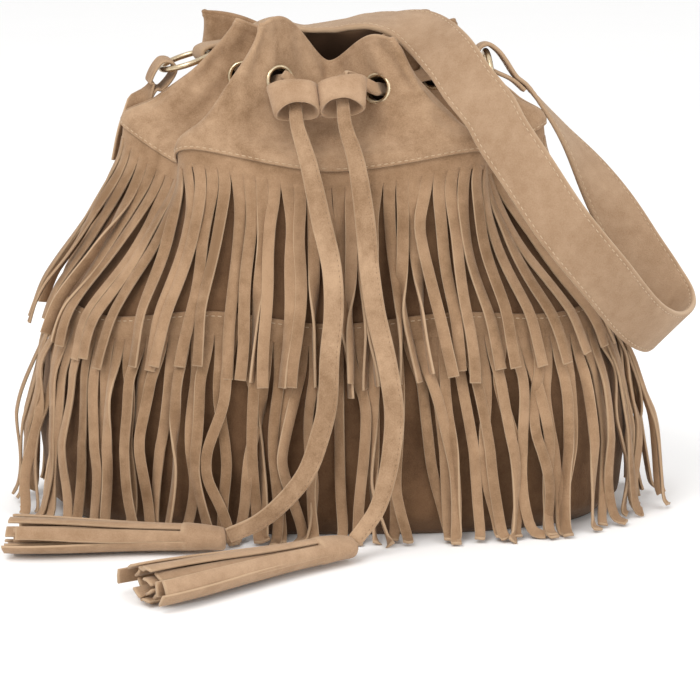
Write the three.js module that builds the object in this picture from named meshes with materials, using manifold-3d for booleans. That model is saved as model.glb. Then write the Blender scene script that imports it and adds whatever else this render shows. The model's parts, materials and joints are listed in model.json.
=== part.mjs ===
// A gathered suede bucket bag with two tiers of fringe, a drawstring and a shoulder strap.
// Millimetres, +Z up, front towards -Y, origin at the centre of the underside of the base panel.
import * as THREE from 'three';
import { mergeVertices } from 'three/addons/utils/BufferGeometryUtils.js';
import Module from 'manifold-3d';

const wasm = await Module();
wasm.setup();

const { smoothstep, lerp, clamp } = THREE.MathUtils;
const V = (x, y, z) => new THREE.Vector3(x, y, z);

// ---- Driving dimensions ----

const FOLDS = 6;
const APEXES = 2 * FOLDS;
const SQUARENESS = 2.6; // exponent of the superellipse that the body follows
const SEAM_HEIGHT = 190; // mean height of the seam between body and neck
const LOWER_SEAM = 0.58; // height of the lower fringe's seam, as a share of the body's height
const BODY_WALL = 2.0;
const NECK_WALL = 1.2;
const LINING_WALL = 1.0;
const FRINGE_WALL = 1.4;
const GAP = 0.4; // between layers that touch on the real bag
const BAND = 14; // uncut edge of each fringe
const UPPER_STRIPS = 80;
const LOWER_STRIPS = 80;
const CUT_SHARE = 0.1; // part of a strip's pitch that the cuts beside it take
const EYELET = {
  outer: 8,
  bore: 5.4,
  barrel: 6.1,
  deep: 3,
  flange: 1.2,
  level: 0.6, // share of the neck's height
  frontShare: 0.5, // how far from a valley to its ridge, at the front and elsewhere
  share: 0.42,
};
const SEAT = { hole: 6.6, outer: 8.5, half: 0.7, reach: 7 }; // leather pressed thin under an eyelet's flange
const WASHER = { outer: 7.8, from: -2, to: -1.1 };
const BASE = { wide: 133, deep: 63, thick: 3 };
const STRAP = { width: 27, wall: 3, end: 15, endWall: 2.2 };
const CORD = { width: 6.2, wall: 3, tailWidth: 9.6, tailWall: 3 };
const RING = { middle: 13.5, wire: 1.5 };
const SLIDER = { width: 46, deep: 14.5, long: 16, wall: 2 };
const TAB = { width: 11, footWidth: 16, wall: 1.6, radius: 4, length: 16 };

// Half width and half depth of the body at each height, from the base up.
const PROFILE = [
  [0, 138, 68],
  [10, 149, 75],
  [42, 152, 77],
  [80, 147, 75],
  [113, 139, 72],
  [150, 127, 68],
  [SEAM_HEIGHT, 108, 62],
];

// The folds' apexes, in turn round the bag from the front centre valley towards +X: a valley, a
// ridge, a valley and so on, at the neck's seam and at its rim.
const SEAM_APEXES = [
  V(0, -61, 184), V(69, -53, 193), V(76, -30, 187), V(105, -6, 201), V(80, 24, 194), V(68, 53, 197),
  V(0, 60, 192), V(-68, 53, 197), V(-80, 27, 194), V(-104, -6, 201), V(-76, -30, 184), V(-68, -52, 194),
];
const RIM_APEXES = [
  V(-2, -20, 231), V(29, -45, 244.5), V(17, -7, 238), V(60, -10, 251), V(20, 14, 238), V(49, 38, 252),
  V(0, 27, 246), V(-67, 41, 252), V(-20, 18, 237), V(-47, -9, 251), V(-14, -6, 238), V(-34, -45, 251.5),
];

const HALFWAY = 0.62; // share of the neck's gathering that is done at half its height
// How far the rim bulges up between each two apexes, on both halves of the front panel, or sags.
const HUMPS = [7, 0, 0, 0, 0, 0, -13, 0, 0, 0, 0, 11];

// ---- Curves and surfaces ----

// Uniform Catmull-Rom spline through the points; t runs from 0 to 1 over all of them.
function spline(points, t, closed) {
  const spans = closed ? points.length : points.length - 1;
  const place = closed ? THREE.MathUtils.euclideanModulo(t, 1) * spans : clamp(t, 0, 1) * spans;
  const start = Math.min(Math.floor(place), spans - 1);
  const f = place - start;
  const pick = (i) => {
    if (closed) return points[THREE.MathUtils.euclideanModulo(i, points.length)];
    return points[clamp(i, 0, points.length - 1)];
  };
  const [a, b, c, d] = [pick(start - 1), pick(start), pick(start + 1), pick(start + 2)];
  const cubic = (p, q, r, s) => 2 * p - 5 * q + 4 * r - s + f * (3 * (q - r) + s - p);
  const blend = (p, q, r, s) => q + 0.5 * f * (r - p + f * cubic(p, q, r, s));
  return V(blend(a.x, b.x, c.x, d.x), blend(a.y, b.y, c.y, d.y), blend(a.z, b.z, c.z, d.z));
}

// Angle round the superellipse for a share u of its length, from the front centre towards +X.
const lengthTable = (() => {
  const steps = 720;
  const [, wide, deep] = PROFILE[3];
  const table = [0];
  let last = superellipse(wide, deep, 0);
  for (let i = 1; i <= steps; i += 1) {
    const point = superellipse(wide, deep, (i / steps) * 2 * Math.PI);
    table.push(table[i - 1] + point.distanceTo(last));
    last = point;
  }
  return table;
})();

function superellipse(wide, deep, angle) {
  const power = (value) => Math.sign(value) * Math.abs(value) ** (2 / SQUARENESS);
  return V(wide * power(Math.sin(angle)), -deep * power(Math.cos(angle)), 0);
}

function angleAt(u) {
  const share = THREE.MathUtils.euclideanModulo(u, 1) * lengthTable[lengthTable.length - 1];
  let low = 0;
  let high = lengthTable.length - 1;
  while (high - low > 1) {
    const middle = (low + high) >> 1;
    if (lengthTable[middle] <= share) low = middle;
    else high = middle;
  }
  const inside = (share - lengthTable[low]) / (lengthTable[high] - lengthTable[low]);
  return ((low + inside) / (lengthTable.length - 1)) * 2 * Math.PI;
}

function profileAt(height) {
  let row = 0;
  while (row < PROFILE.length - 2 && PROFILE[row + 1][0] < height) row += 1;
  const f = clamp((height - PROFILE[row][0]) / (PROFILE[row + 1][0] - PROFILE[row][0]), 0, 1);
  return [lerp(PROFILE[row][1], PROFILE[row + 1][1], f), lerp(PROFILE[row][2], PROFILE[row + 1][2], f)];
}

// Body: a superellipse that takes on the neck's folds towards its top; h is the share of the height.
function bodyPoint(u, h) {
  const fold = spline(SEAM_APEXES, u, true);
  const [wide, deep] = profileAt(h * SEAM_HEIGHT);
  const plain = superellipse(wide, deep, angleAt(u));
  const share = clamp((h - LOWER_SEAM) / (1 - LOWER_SEAM), 0, 1);
  return V(lerp(plain.x, fold.x, share), lerp(plain.y, fold.y, share), h * fold.z);
}

function humpAt(u) {
  const place = THREE.MathUtils.euclideanModulo(u, 1) * APEXES;
  return HUMPS[Math.floor(place) % APEXES] * Math.sin(Math.PI * place) ** 2;
}

// Neck: from the seam's folds to the rim's, drawn in most of the way by half its height.
function neckPoint(u, s) {
  const low = spline(SEAM_APEXES, u, true);
  const high = spline(RIM_APEXES, u, true);
  const drawn = s + 4 * (HALFWAY - 0.5) * s * (1 - s);
  const level = lerp(low.z, high.z, s) + humpAt(u) * s ** 3;
  return V(lerp(low.x, high.x, drawn), lerp(low.y, high.y, drawn), level);
}

function normalAt(surface, u, v) {
  const step = 0.002;
  const along = surface(u + step, v).sub(surface(u - step, v));
  const up = surface(u, v + step).sub(surface(u, v - step));
  return along.cross(up).normalize();
}

const offsetPoint = (surface, u, v, out) => surface(u, v).addScaledVector(normalAt(surface, u, v), out);

// ---- Meshes ----

function mesh(name, geometry, color, roughness, metalness = 0) {
  const material = new THREE.MeshStandardMaterial({ color, roughness, metalness });
  const part = new THREE.Mesh(geometry, material);
  part.name = name;
  return part;
}

const suede = (name, geometry) => mesh(name, geometry, 0xb8946c, 0.9);
const brass = (name, geometry) => mesh(name, geometry, 0x9a7b45, 0.4, 1);

function geometryFrom(points, triangles) {
  const geometry = new THREE.BufferGeometry();
  geometry.setAttribute('position', new THREE.Float32BufferAttribute(points.flatMap((p) => p.toArray()), 3));
  geometry.setIndex(triangles.flat());
  return geometry;
}

// A grid of rows, each row a closed ring of the same number of points; the ends are closed by fans.
function loft(rings) {
  const around = rings[0].length;
  const points = rings.flat();
  const triangles = [];
  for (let r = 0; r < rings.length - 1; r += 1) {
    for (let i = 0; i < around; i += 1) {
      const a = r * around + i;
      const b = r * around + ((i + 1) % around);
      triangles.push([a, b, b + around], [a, b + around, a + around]);
    }
  }
  const middle = (ring) => ring.reduce((sum, p) => sum.add(p), V(0, 0, 0)).divideScalar(around);
  const top = (rings.length - 1) * around;
  points.push(middle(rings[0]), middle(rings[rings.length - 1]));
  for (let i = 0; i < around; i += 1) {
    const next = (i + 1) % around;
    triangles.push([points.length - 2, next, i], [points.length - 1, top + i, top + next]);
  }
  return geometryFrom(points, triangles);
}

// A sheet of leather: a surface from uFrom to uTo over the levels, between two offsets from it.
function sheet(surface, { u: [uFrom, uTo], levels, offsets: [inner, outer], across }) {
  const up = levels.length - 1;
  const points = [];
  for (const out of [outer, inner]) {
    for (const v of levels) {
      for (let i = 0; i <= across; i += 1) {
        points.push(offsetPoint(surface, lerp(uFrom, uTo, i / across), v, out));
      }
    }
  }
  const at = (side, i, j) => side * (up + 1) * (across + 1) + j * (across + 1) + i;
  const triangles = [];
  const quad = (a, b, c, d) => triangles.push([a, b, c], [a, c, d]);
  for (let j = 0; j < up; j += 1) {
    for (let i = 0; i < across; i += 1) {
      quad(at(0, i, j), at(0, i + 1, j), at(0, i + 1, j + 1), at(0, i, j + 1));
      quad(at(1, i, j), at(1, i, j + 1), at(1, i + 1, j + 1), at(1, i + 1, j));
    }
    quad(at(1, 0, j), at(0, 0, j), at(0, 0, j + 1), at(1, 0, j + 1));
    quad(at(0, across, j), at(1, across, j), at(1, across, j + 1), at(0, across, j + 1));
  }
  for (let i = 0; i < across; i += 1) {
    quad(at(1, i, 0), at(1, i + 1, 0), at(0, i + 1, 0), at(0, i, 0));
    quad(at(0, i, up), at(0, i + 1, up), at(1, i + 1, up), at(1, i, up));
  }
  return geometryFrom(points, triangles);
}

// A fringe: an uncut band with a strip below each pitch. drop(u, share) is the place on the fringe's
// inner face, from the seam at share 0 and the band's lower edge at 1 to the tips at the last share.
function fringe(drop, from, to, strips, levels) {
  const points = [];
  const triangles = [];
  const quad = (a, b, c, d) => triangles.push([a, b, c], [a, c, d]);
  const pitch = (to - from) / strips;
  const cut = (pitch * CUT_SHARE) / 2;
  const rows = levels + 2;
  // Each column of points runs down one edge of a strip, inner and outer face side by side.
  const column = (u) => {
    const first = points.length;
    for (let row = 0; row < rows; row += 1) {
      const place = drop(u, row);
      const beside = drop(u + 0.002, row).sub(drop(u - 0.002, row));
      const below = drop(u, Math.min(row + 1, rows - 1)).sub(drop(u, Math.min(row, rows - 2)));
      const out = below.cross(beside).normalize();
      points.push(place, place.clone().addScaledVector(out, FRINGE_WALL));
    }
    return first;
  };
  const inner = (first, row) => first + 2 * row;
  const outer = (first, row) => first + 2 * row + 1;
  const faces = (left, right, fromRow, toRow) => {
    for (let row = fromRow; row < toRow; row += 1) {
      quad(outer(left, row + 1), outer(right, row + 1), outer(right, row), outer(left, row));
      quad(inner(left, row), inner(right, row), inner(right, row + 1), inner(left, row + 1));
    }
  };
  const side = (first, fromRow, toRow, facesLeft) => {
    for (let row = fromRow; row < toRow; row += 1) {
      const edge = [outer(first, row), inner(first, row), inner(first, row + 1), outer(first, row + 1)];
      if (facesLeft) quad(...edge);
      else quad(...edge.reverse());
    }
  };
  const lastRow = rows - 1;
  let previous = null;
  for (let i = 0; i < strips; i += 1) {
    const left = column(from + pitch * i + cut);
    const right = column(from + pitch * (i + 1) - cut);
    faces(left, right, 0, lastRow);
    quad(inner(left, 0), outer(left, 0), outer(right, 0), inner(right, 0));
    quad(outer(left, lastRow), inner(left, lastRow), inner(right, lastRow), outer(right, lastRow));
    side(left, previous === null ? 0 : 1, lastRow, true);
    side(right, i === strips - 1 ? 0 : 1, lastRow, false);
    if (previous !== null) {
      faces(previous, left, 0, 1);
      quad(inner(previous, 0), outer(previous, 0), outer(left, 0), inner(left, 0));
      quad(outer(previous, 1), inner(previous, 1), inner(left, 1), outer(left, 1));
    }
    previous = right;
  }
  return geometryFrom(points, triangles);
}

// A flat band carried along stations of [place, side direction, width, thickness].
function ribbon(stations, steps, corners = 4) {
  const places = stations.map((s) => s[0]);
  const sides = stations.map((s) => s[1]);
  const sizes = stations.map((s) => V(s[2], s[3], 0));
  const rings = [];
  for (let i = 0; i <= steps; i += 1) {
    const t = i / steps;
    const place = spline(places, t, false);
    const behind = spline(places, t - 0.25 / steps, false);
    const ahead = spline(places, t + 0.25 / steps, false).sub(behind).normalize();
    const side = spline(sides, t, false);
    side.addScaledVector(ahead, -side.dot(ahead)).normalize();
    const face = ahead.clone().cross(side);
    const size = spline(sizes, t, false);
    const ring = [];
    for (let k = 0; k < corners; k += 1) {
      const angle = ((k + 0.5) / corners) * 2 * Math.PI;
      const reach = corners === 4 ? Math.SQRT2 : 1;
      const wide = Math.cos(angle) * reach * 0.5 * size.x;
      const thick = Math.sin(angle) * reach * 0.5 * size.y;
      ring.push(place.clone().addScaledVector(side, wide).addScaledVector(face, thick));
    }
    rings.push(ring);
  }
  return loft(rings);
}

function solid(geometry) {
  const plain = geometry.clone();
  plain.deleteAttribute('normal');
  plain.deleteAttribute('uv');
  const merged = mergeVertices(plain, 1e-4);
  const vertProperties = new Float32Array(merged.attributes.position.array);
  const triVerts = new Uint32Array(merged.index.array);
  return new wasm.Manifold(new wasm.Mesh({ numProp: 3, vertProperties, triVerts }));
}

function geometryOf(manifold) {
  const { vertProperties, triVerts } = manifold.getMesh();
  const geometry = new THREE.BufferGeometry();
  geometry.setAttribute('position', new THREE.BufferAttribute(vertProperties, 3));
  geometry.setIndex(new THREE.BufferAttribute(triVerts, 1));
  return geometry;
}

// The turn and place that put a piece's +Z along a direction, with its +X as near as it goes to across.
function aim(place, direction, across) {
  const z = direction.clone().normalize();
  const x = across.clone().addScaledVector(z, -across.dot(z)).normalize();
  const y = z.clone().cross(x);
  return new THREE.Matrix4().makeBasis(x, y, z).setPosition(place);
}

function lathe(profile, segments) {
  const outline = profile.map(([r, h]) => new THREE.Vector2(r, h));
  return new THREE.LatheGeometry(outline, segments).rotateX(Math.PI / 2);
}

// ---- Eyelets: two beside each valley, the cord outside the valleys and inside the ridges ----

const eyelets = [];
for (let fold = 0; fold < FOLDS; fold += 1) {
  for (const side of [-1, 1]) {
    const u = (2 * fold + side * (fold === 0 ? EYELET.frontShare : EYELET.share)) / APEXES;
    const out = normalAt(neckPoint, u, EYELET.level);
    const place = neckPoint(u, EYELET.level);
    const up = neckPoint(u, EYELET.level + 0.02).sub(neckPoint(u, EYELET.level - 0.02)).normalize();
    eyelets.push({ u, place, out, up });
  }
}

const eyeletSeat = () => {
  const { hole, outer, half, reach } = SEAT;
  return lathe([
    [0, -reach], [outer, -reach], [outer, -half], [hole, -half],
    [hole, half], [outer, half], [outer, reach], [0, reach],
  ], 10);
};
const eyeletRing = () => {
  const { outer, bore, barrel, deep, flange } = EYELET;
  const under = SEAT.half + 0.3;
  const top = under + flange;
  return lathe([
    [bore, -deep], [barrel, -deep], [barrel, under], [outer, under],
    [outer - 0.6, top], [bore + 0.5, top], [bore, -deep],
  ], 11);
};
const eyeletWasher = () => {
  const { outer, from, to } = WASHER;
  return lathe([[SEAT.hole, from], [outer, from], [outer, to], [SEAT.hole, to], [SEAT.hole, from]], 9);
};

// ---- Build ----

const bag = new THREE.Group();
const halves = { front: [-0.25, 0.25], back: [0.25, 0.75] };
const sideCut = 0.0006; // half the gap at a side seam, as a share of the girth
const ridgeCut = 0.0028; // the same on the neck, where the seams lie on sharp ridges
const BODY_LEVELS = [0.004, 0.053, 0.22, 0.42, 0.58, 0.74, 0.9, 0.98];
const NECK_LEVELS = [0.004, 0.25, 0.5, 0.75, 1];

// Base panel: a flat superellipse plate.
{
  const outline = [];
  for (let i = 0; i < 56; i += 1) {
    const point = superellipse(BASE.wide, BASE.deep, angleAt(i / 56));
    outline.push(new THREE.Vector2(point.x, point.y));
  }
  const settings = { depth: BASE.thick, bevelEnabled: false };
  bag.add(suede('base_panel', new THREE.ExtrudeGeometry(new THREE.Shape(outline), settings)));
}

for (const [half, [from, to]] of Object.entries(halves)) {
  const u = [from + sideCut, to - sideCut];
  const walls = { u, levels: BODY_LEVELS, offsets: [-BODY_WALL, 0], across: UPPER_STRIPS / 2 };
  bag.add(suede(`body_${half}`, sheet(bodyPoint, walls)));

  const neckSheet = {
    u: [from + ridgeCut, to - ridgeCut],
    levels: NECK_LEVELS,
    offsets: [-NECK_WALL / 2, NECK_WALL / 2],
    across: 36,
  };
  let neck = solid(sheet(neckPoint, neckSheet));
  for (const { u: at, place, out, up } of eyelets) {
    const inHalf = THREE.MathUtils.euclideanModulo(at - from, 1) < to - from;
    if (inHalf) neck = neck.subtract(solid(eyeletSeat().applyMatrix4(aim(place, out, up))));
  }
  bag.add(suede(`yoke_${half}`, geometryOf(neck)));
}

// Lining: a thin cup inside the body.
{
  const around = 40;
  const ringAt = (h, inset, scale = 1) => {
    const ring = [];
    const slack = 5 * smoothstep(h, 0.5, 0.75);
    for (let i = 0; i < around; i += 1) {
      const point = offsetPoint(bodyPoint, i / around, h, -inset - slack);
      ring.push(V(point.x * scale, point.y * scale, point.z));
    }
    return ring;
  };
  const outside = BODY_WALL + GAP;
  const inside = outside + LINING_WALL;
  const level = (ring, z) => ring.map((p) => V(p.x, p.y, z));
  const floor = BASE.thick + GAP;
  const foot = BODY_LEVELS[0];
  const wallLevels = BODY_LEVELS.filter((h, i) => i > 1 && h !== 0.9);
  const rings = [level(ringAt(foot, outside, 0.5), floor), level(ringAt(foot, outside), floor)];
  for (const h of wallLevels) rings.push(ringAt(h, outside));
  for (const h of wallLevels.reverse()) rings.push(ringAt(h, inside));
  rings.push(level(ringAt(foot, inside), floor + LINING_WALL));
  rings.push(level(ringAt(foot, inside, 0.5), floor + LINING_WALL));
  bag.add(mesh('lining', loft(rings), 0x5a4638, 0.85));
}

// Fringes. The upper one hangs from the neck's seam, the lower one from a seam half way down.
const onBody = (h, out) => (u) => offsetPoint(bodyPoint, u, h, out);
function upperDrop(u, row) {
  if (row === 0) return onBody(0.975, GAP + 0.2)(u);
  if (row === 1) return onBody(0.9, GAP + 0.8)(u);
  if (row === 2) return onBody(0.6, GAP + 3.6)(u);
  return onBody(0.42, GAP + 5.5)(u);
}
function lowerDrop(u, row) {
  if (row === 0) return onBody(LOWER_SEAM, GAP)(u);
  if (row === 1) return onBody(LOWER_SEAM - BAND / SEAM_HEIGHT, GAP + 0.6)(u);
  if (row === 2) return onBody(0.22, GAP + 3.4)(u);
  const foot = onBody(0.05, 8)(u);
  return V(foot.x, foot.y * 1.06, 1.2);
}
for (const [half, [from, to]] of Object.entries(halves)) {
  const low = from + sideCut;
  const high = to - sideCut;
  bag.add(suede(`fringe_upper_${half}`, fringe(upperDrop, low, high, UPPER_STRIPS / 2, 2)));
  bag.add(suede(`fringe_lower_${half}`, fringe(lowerDrop, low, high, LOWER_STRIPS / 2, 2)));
}

// Eyelets and their washers.
eyelets.forEach(({ place, out, up }, i) => {
  const number = String(i + 1).padStart(2, '0');
  const turn = aim(place, out, up);
  const ring = brass(`eyelet_${number}`, eyeletRing());
  const washer = brass(`eyelet_washer_${number}`, eyeletWasher());
  for (const part of [ring, washer]) {
    part.applyMatrix4(turn);
    bag.add(part);
  }
});

// Slider: two suede loops side by side, which run on the two tails.
const SLIDE = V(0.1, -0.58, -0.81).normalize();
const sliderPlace = V(-6.5, -58.5, 216.5);
const loopMiddle = SLIDER.width / 4;
{
  const outline = (shape, x, halfWide, halfDeep) => {
    const round = Math.min(halfWide, halfDeep) * 0.9;
    shape.moveTo(x - halfWide + round, -halfDeep);
    shape.lineTo(x + halfWide - round, -halfDeep);
    shape.quadraticCurveTo(x + halfWide, -halfDeep, x + halfWide, -halfDeep + round);
    shape.lineTo(x + halfWide, halfDeep - round);
    shape.quadraticCurveTo(x + halfWide, halfDeep, x + halfWide - round, halfDeep);
    shape.lineTo(x - halfWide + round, halfDeep);
    shape.quadraticCurveTo(x - halfWide, halfDeep, x - halfWide, halfDeep - round);
    shape.lineTo(x - halfWide, -halfDeep + round);
    shape.quadraticCurveTo(x - halfWide, -halfDeep, x - halfWide + round, -halfDeep);
    return shape;
  };
  const shape = outline(new THREE.Shape(), 0, SLIDER.width / 2, SLIDER.deep / 2);
  for (const side of [-1, 1]) {
    const inside = [loopMiddle - SLIDER.wall, SLIDER.deep / 2 - SLIDER.wall];
    shape.holes.push(outline(new THREE.Path(), side * loopMiddle, ...inside));
  }
  const settings = { depth: SLIDER.long, bevelEnabled: false, curveSegments: 4 };
  const loops = new THREE.ExtrudeGeometry(shape, settings);
  loops.translate(0, 0, -SLIDER.long / 2);
  const slider = suede('slider', loops);
  slider.applyMatrix4(aim(sliderPlace, SLIDE, V(1, 0, 0)));
  bag.add(slider);
}

// Drawstring: the left tail, the run round the neck and the right tail, as one flat cord.
const TAIL_LEFT = [
  V(-11, -73, 186), V(-5, -81, 160), V(0, -85, 138), V(1, -88, 117), V(-1, -90, 95), V(-2, -92, 73),
  V(-6, -94, 56), V(-12, -97, 40), V(-22, -99, 27), V(-35, -100, 16), V(-50, -100, 9),
];
const TAIL_RIGHT = [
  V(12, -73, 186), V(16, -81, 160), V(18, -85, 138), V(21, -88, 117), V(25, -90, 100), V(28, -93, 85),
  V(30, -96, 69), V(29, -100, 53), V(26, -104, 37), V(21, -108, 23), V(11, -112, 10),
];
{
  const flat = V(1, 0, 0);
  const station = (place, side, width, wall) => [place, side.clone(), width, wall];
  const loopPlace = (side, along) => {
    const middle = sliderPlace.clone().add(V(side * loopMiddle, 0, 0));
    return middle.addScaledVector(SLIDE, along);
  };
  const tail = (side, points) => [
    station(loopPlace(side, -12).add(V(side * 3, 3.4, 1.6)), V(0.7, 0.2, 0.5), 4.2, 2.6),
    station(loopPlace(side, -7), flat, 5.5, CORD.wall),
    station(loopPlace(side, 4), flat, 7.5, CORD.wall),
    station(loopPlace(side, 16), flat, 8.5, CORD.wall),
    ...points.map((p) => station(p, flat, CORD.tailWidth, CORD.tailWall)),
  ];
  const run = [];
  const count = eyelets.length;
  // From the right front eyelet round the back to the left front one.
  for (let k = 0; k < count; k += 1) {
    const { place, out, up } = eyelets[(k + 1) % count];
    const inward = k % 2 === 0 ? 1 : -1;
    const steps = [4.5, 0, -4.5].map((depth) => depth * inward);
    for (const depth of steps) {
      run.push(station(place.clone().addScaledVector(out, depth), up, CORD.width, CORD.wall));
    }
    if (k < count - 1) {
      const next = eyelets[(k + 2) % count];
      const reach = place.distanceTo(next.place) * 0.28;
      const lift = -inward * Math.max(5.5, Math.min(reach, 9));
      const here = place.clone().addScaledVector(out, lift);
      const there = next.place.clone().addScaledVector(next.out, lift);
      run.push(station(here.lerp(there, 0.5), up.clone().add(next.up), CORD.width, CORD.wall));
    }
  }
  const stations = [...tail(-1, TAIL_LEFT).reverse(), ...run.reverse(), ...tail(1, TAIL_RIGHT)];
  bag.add(suede('drawstring', ribbon(stations, 150)));
}

// Tassels: a wrapped head and a flat bundle of strips, lying on the ground.
for (const [name, head, tip, tall] of [
  ['tassel_left', V(-52, -100, 8), V(-158, -98, 7), 11],
  ['tassel_right', V(9, -113, 9), V(-88, -184, 7), 12],
]) {
  const along = tip.clone().sub(head).normalize();
  const across = V(0, 0, 1).cross(along);
  const start = head.clone().addScaledVector(along, 1.6);
  const at = (share) => start.clone().lerp(tip, share);
  const stations = [
    [at(0), across, 12, 10],
    [at(0.06), across, 15, tall],
    [at(0.32), across, 19, tall],
    [at(0.7), across, 27, tall],
    [at(1), across, 33, tall],
  ];
  bag.add(suede(name, ribbon(stations, 10, 8)));
}

// A band's end folded round a ring's wire. The band comes in along toward, turns round centre and lies
// back under itself; face is its upper side there, and radius leaves room for the wire's own curve.
function foldedEnd({ centre, toward, side, radius, length, width, wall }) {
  const across = side.clone().addScaledVector(toward, -side.dot(toward)).normalize();
  const face = toward.clone().cross(across);
  if (face.z < 0) face.negate();
  const beside = (wall + GAP) / 2;
  const turn = radius + wall / 2;
  const stations = [];
  const put = (along, out) => {
    const place = centre.clone().addScaledVector(toward, along).addScaledVector(face, out);
    stations.push([place, across.clone(), width, wall]);
  };
  put(-length, beside);
  put(-length * 0.7, beside);
  put(-turn * 2, turn * 0.75);
  put(-turn * 0.8, turn);
  for (const degrees of [70, 35, 0, -35, -70]) {
    const angle = THREE.MathUtils.degToRad(degrees);
    put(turn * Math.cos(angle), turn * Math.sin(angle));
  }
  put(-turn * 0.8, -turn);
  put(-turn * 2, -turn * 0.75);
  put(-length * 0.7, -beside);
  put(-length, -beside);
  return stations;
}

// Rings, each with its place, the way from the tab to the strap, and the wire's axis at both.
const ringFrames = {
  left: { place: V(-75, 14, 228), toStrap: V(0.88, 0.36, 0.31), side: V(-0.38, 0.925, 0) },
  right: { place: V(80, 24, 218.5), toStrap: V(-0.1, 0, 1), side: V(-0.1, 1, 0) },
};
for (const frame of Object.values(ringFrames)) {
  frame.toStrap.normalize();
  frame.side.addScaledVector(frame.toStrap, -frame.side.dot(frame.toStrap)).normalize();
  frame.axis = frame.toStrap.clone().cross(frame.side);
  frame.strapWire = frame.place.clone().addScaledVector(frame.toStrap, RING.middle);
  frame.tabWire = frame.place.clone().addScaledVector(frame.toStrap, -RING.middle);
}
for (const [side, frame] of Object.entries(ringFrames)) {
  const ring = brass(`strap_ring_${side}`, new THREE.TorusGeometry(RING.middle, RING.wire, 6, 22));
  ring.applyMatrix4(aim(frame.place, frame.axis, frame.toStrap));
  bag.add(ring);
}

// Tabs: folded bands that tie the rings to the bag's sides.
const tabFeet = {
  left: {
    low: offsetPoint(bodyPoint, 0.722, 0.88, 5),
    high: offsetPoint(bodyPoint, 0.722, 0.98, 5),
    across: bodyPoint(0.726, 0.95).sub(bodyPoint(0.718, 0.95)).normalize(),
    width: TAB.footWidth,
  },
  right: { low: V(98, 31, 172), high: V(93, 27, 190), across: V(0.1, 1, 0), width: TAB.width },
};
for (const [side, frame] of Object.entries(ringFrames)) {
  const { low, high, across, width } = tabFeet[side];
  const centre = frame.tabWire.clone().addScaledVector(frame.toStrap, 1.4);
  const toward = centre.clone().sub(high).normalize();
  const end = foldedEnd({ ...TAB, centre, toward, side: frame.side });
  const stations = [[low, across, width, TAB.wall], [high, across, width, TAB.wall], ...end.slice(1)];
  bag.add(suede(`ring_tab_${side}`, ribbon(stations, 36)));
}

// Strap: from the left ring over the mouth, down the front, round at the right and back to the right ring.
const STRAP_ROUTE = [
  [V(-30, 15, 247), V(-0.38, 0.92, 0)],
  [V(-14, 9, 245), V(-0.25, 0.97, 0)],
  [V(2, 2, 246.5), V(-0.05, 1, 0.05)],
  [V(14, -5, 249), V(0.05, 1, 0.1)],
  [V(26, -12, 250), V(0.2, 0.95, 0.2)],
  [V(42, -23, 247.5), V(0.58, 0.65, 0.48)],
  [V(56, -47, 236.5), V(0.84, -0.04, 0.54)],
  [V(65.5, -60, 223.5), V(0.86, -0.1, 0.5)],
  [V(75.5, -68.5, 211.5), V(0.85, -0.1, 0.52)],
  [V(82, -76, 200), V(0.84, -0.1, 0.54)],
  [V(93, -84, 184), V(0.81, -0.1, 0.58)],
  [V(110, -90, 159), V(0.78, -0.1, 0.62)],
  [V(131, -83, 133), V(0.74, -0.1, 0.67)],
  [V(150, -63, 109), V(0.72, -0.1, 0.69)],
  [V(164, -43, 98), V(0.71, 0, 0.7)],
  [V(173, -22, 98), V(0.7, 0, 0.71)],
  [V(174, -6, 105), V(0.7, 0, 0.7)],
  [V(167, 3, 117), V(0.7, 0.1, 0.68)],
  [V(157, 10, 132), V(0.68, 0.25, 0.65)],
  [V(145, 17, 152), V(0.6, 0.5, 0.55)],
  [V(133, 23, 171), V(0.45, 0.75, 0.4)],
  [V(120, 25, 189), V(0.2, 0.95, 0.2)],
  [V(109, 25, 203), V(0.05, 1, 0.05)],
];
{
  const { left, right } = ringFrames;
  const leftEnd = foldedEnd({
    centre: left.strapWire.clone().addScaledVector(left.toStrap, -2.9),
    toward: left.toStrap.clone().negate(),
    side: left.side,
    radius: 2.2,
    length: 19,
    width: STRAP.end,
    wall: STRAP.endWall,
  });
  const rightCentre = right.strapWire.clone().addScaledVector(right.toStrap, -1.5);
  const rightEnd = foldedEnd({
    centre: rightCentre,
    toward: rightCentre.clone().sub(V(99, 24.5, 213)).normalize(),
    side: right.side,
    radius: 3.9,
    length: 27,
    width: STRAP.end,
    wall: STRAP.endWall,
  });
  const middle = STRAP_ROUTE.map(([place, side], i) => {
    const near = Math.min(i, STRAP_ROUTE.length - 1 - i) / 2;
    const share = smoothstep(near, -0.5, 1.5);
    return [place, side, lerp(STRAP.end, STRAP.width, share), lerp(STRAP.endWall, STRAP.wall, share)];
  });
  const stations = [...leftEnd.reverse(), ...middle, ...rightEnd];
  bag.add(suede('strap', ribbon(stations, 130)));
}

export default bag;
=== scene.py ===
import json

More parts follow.
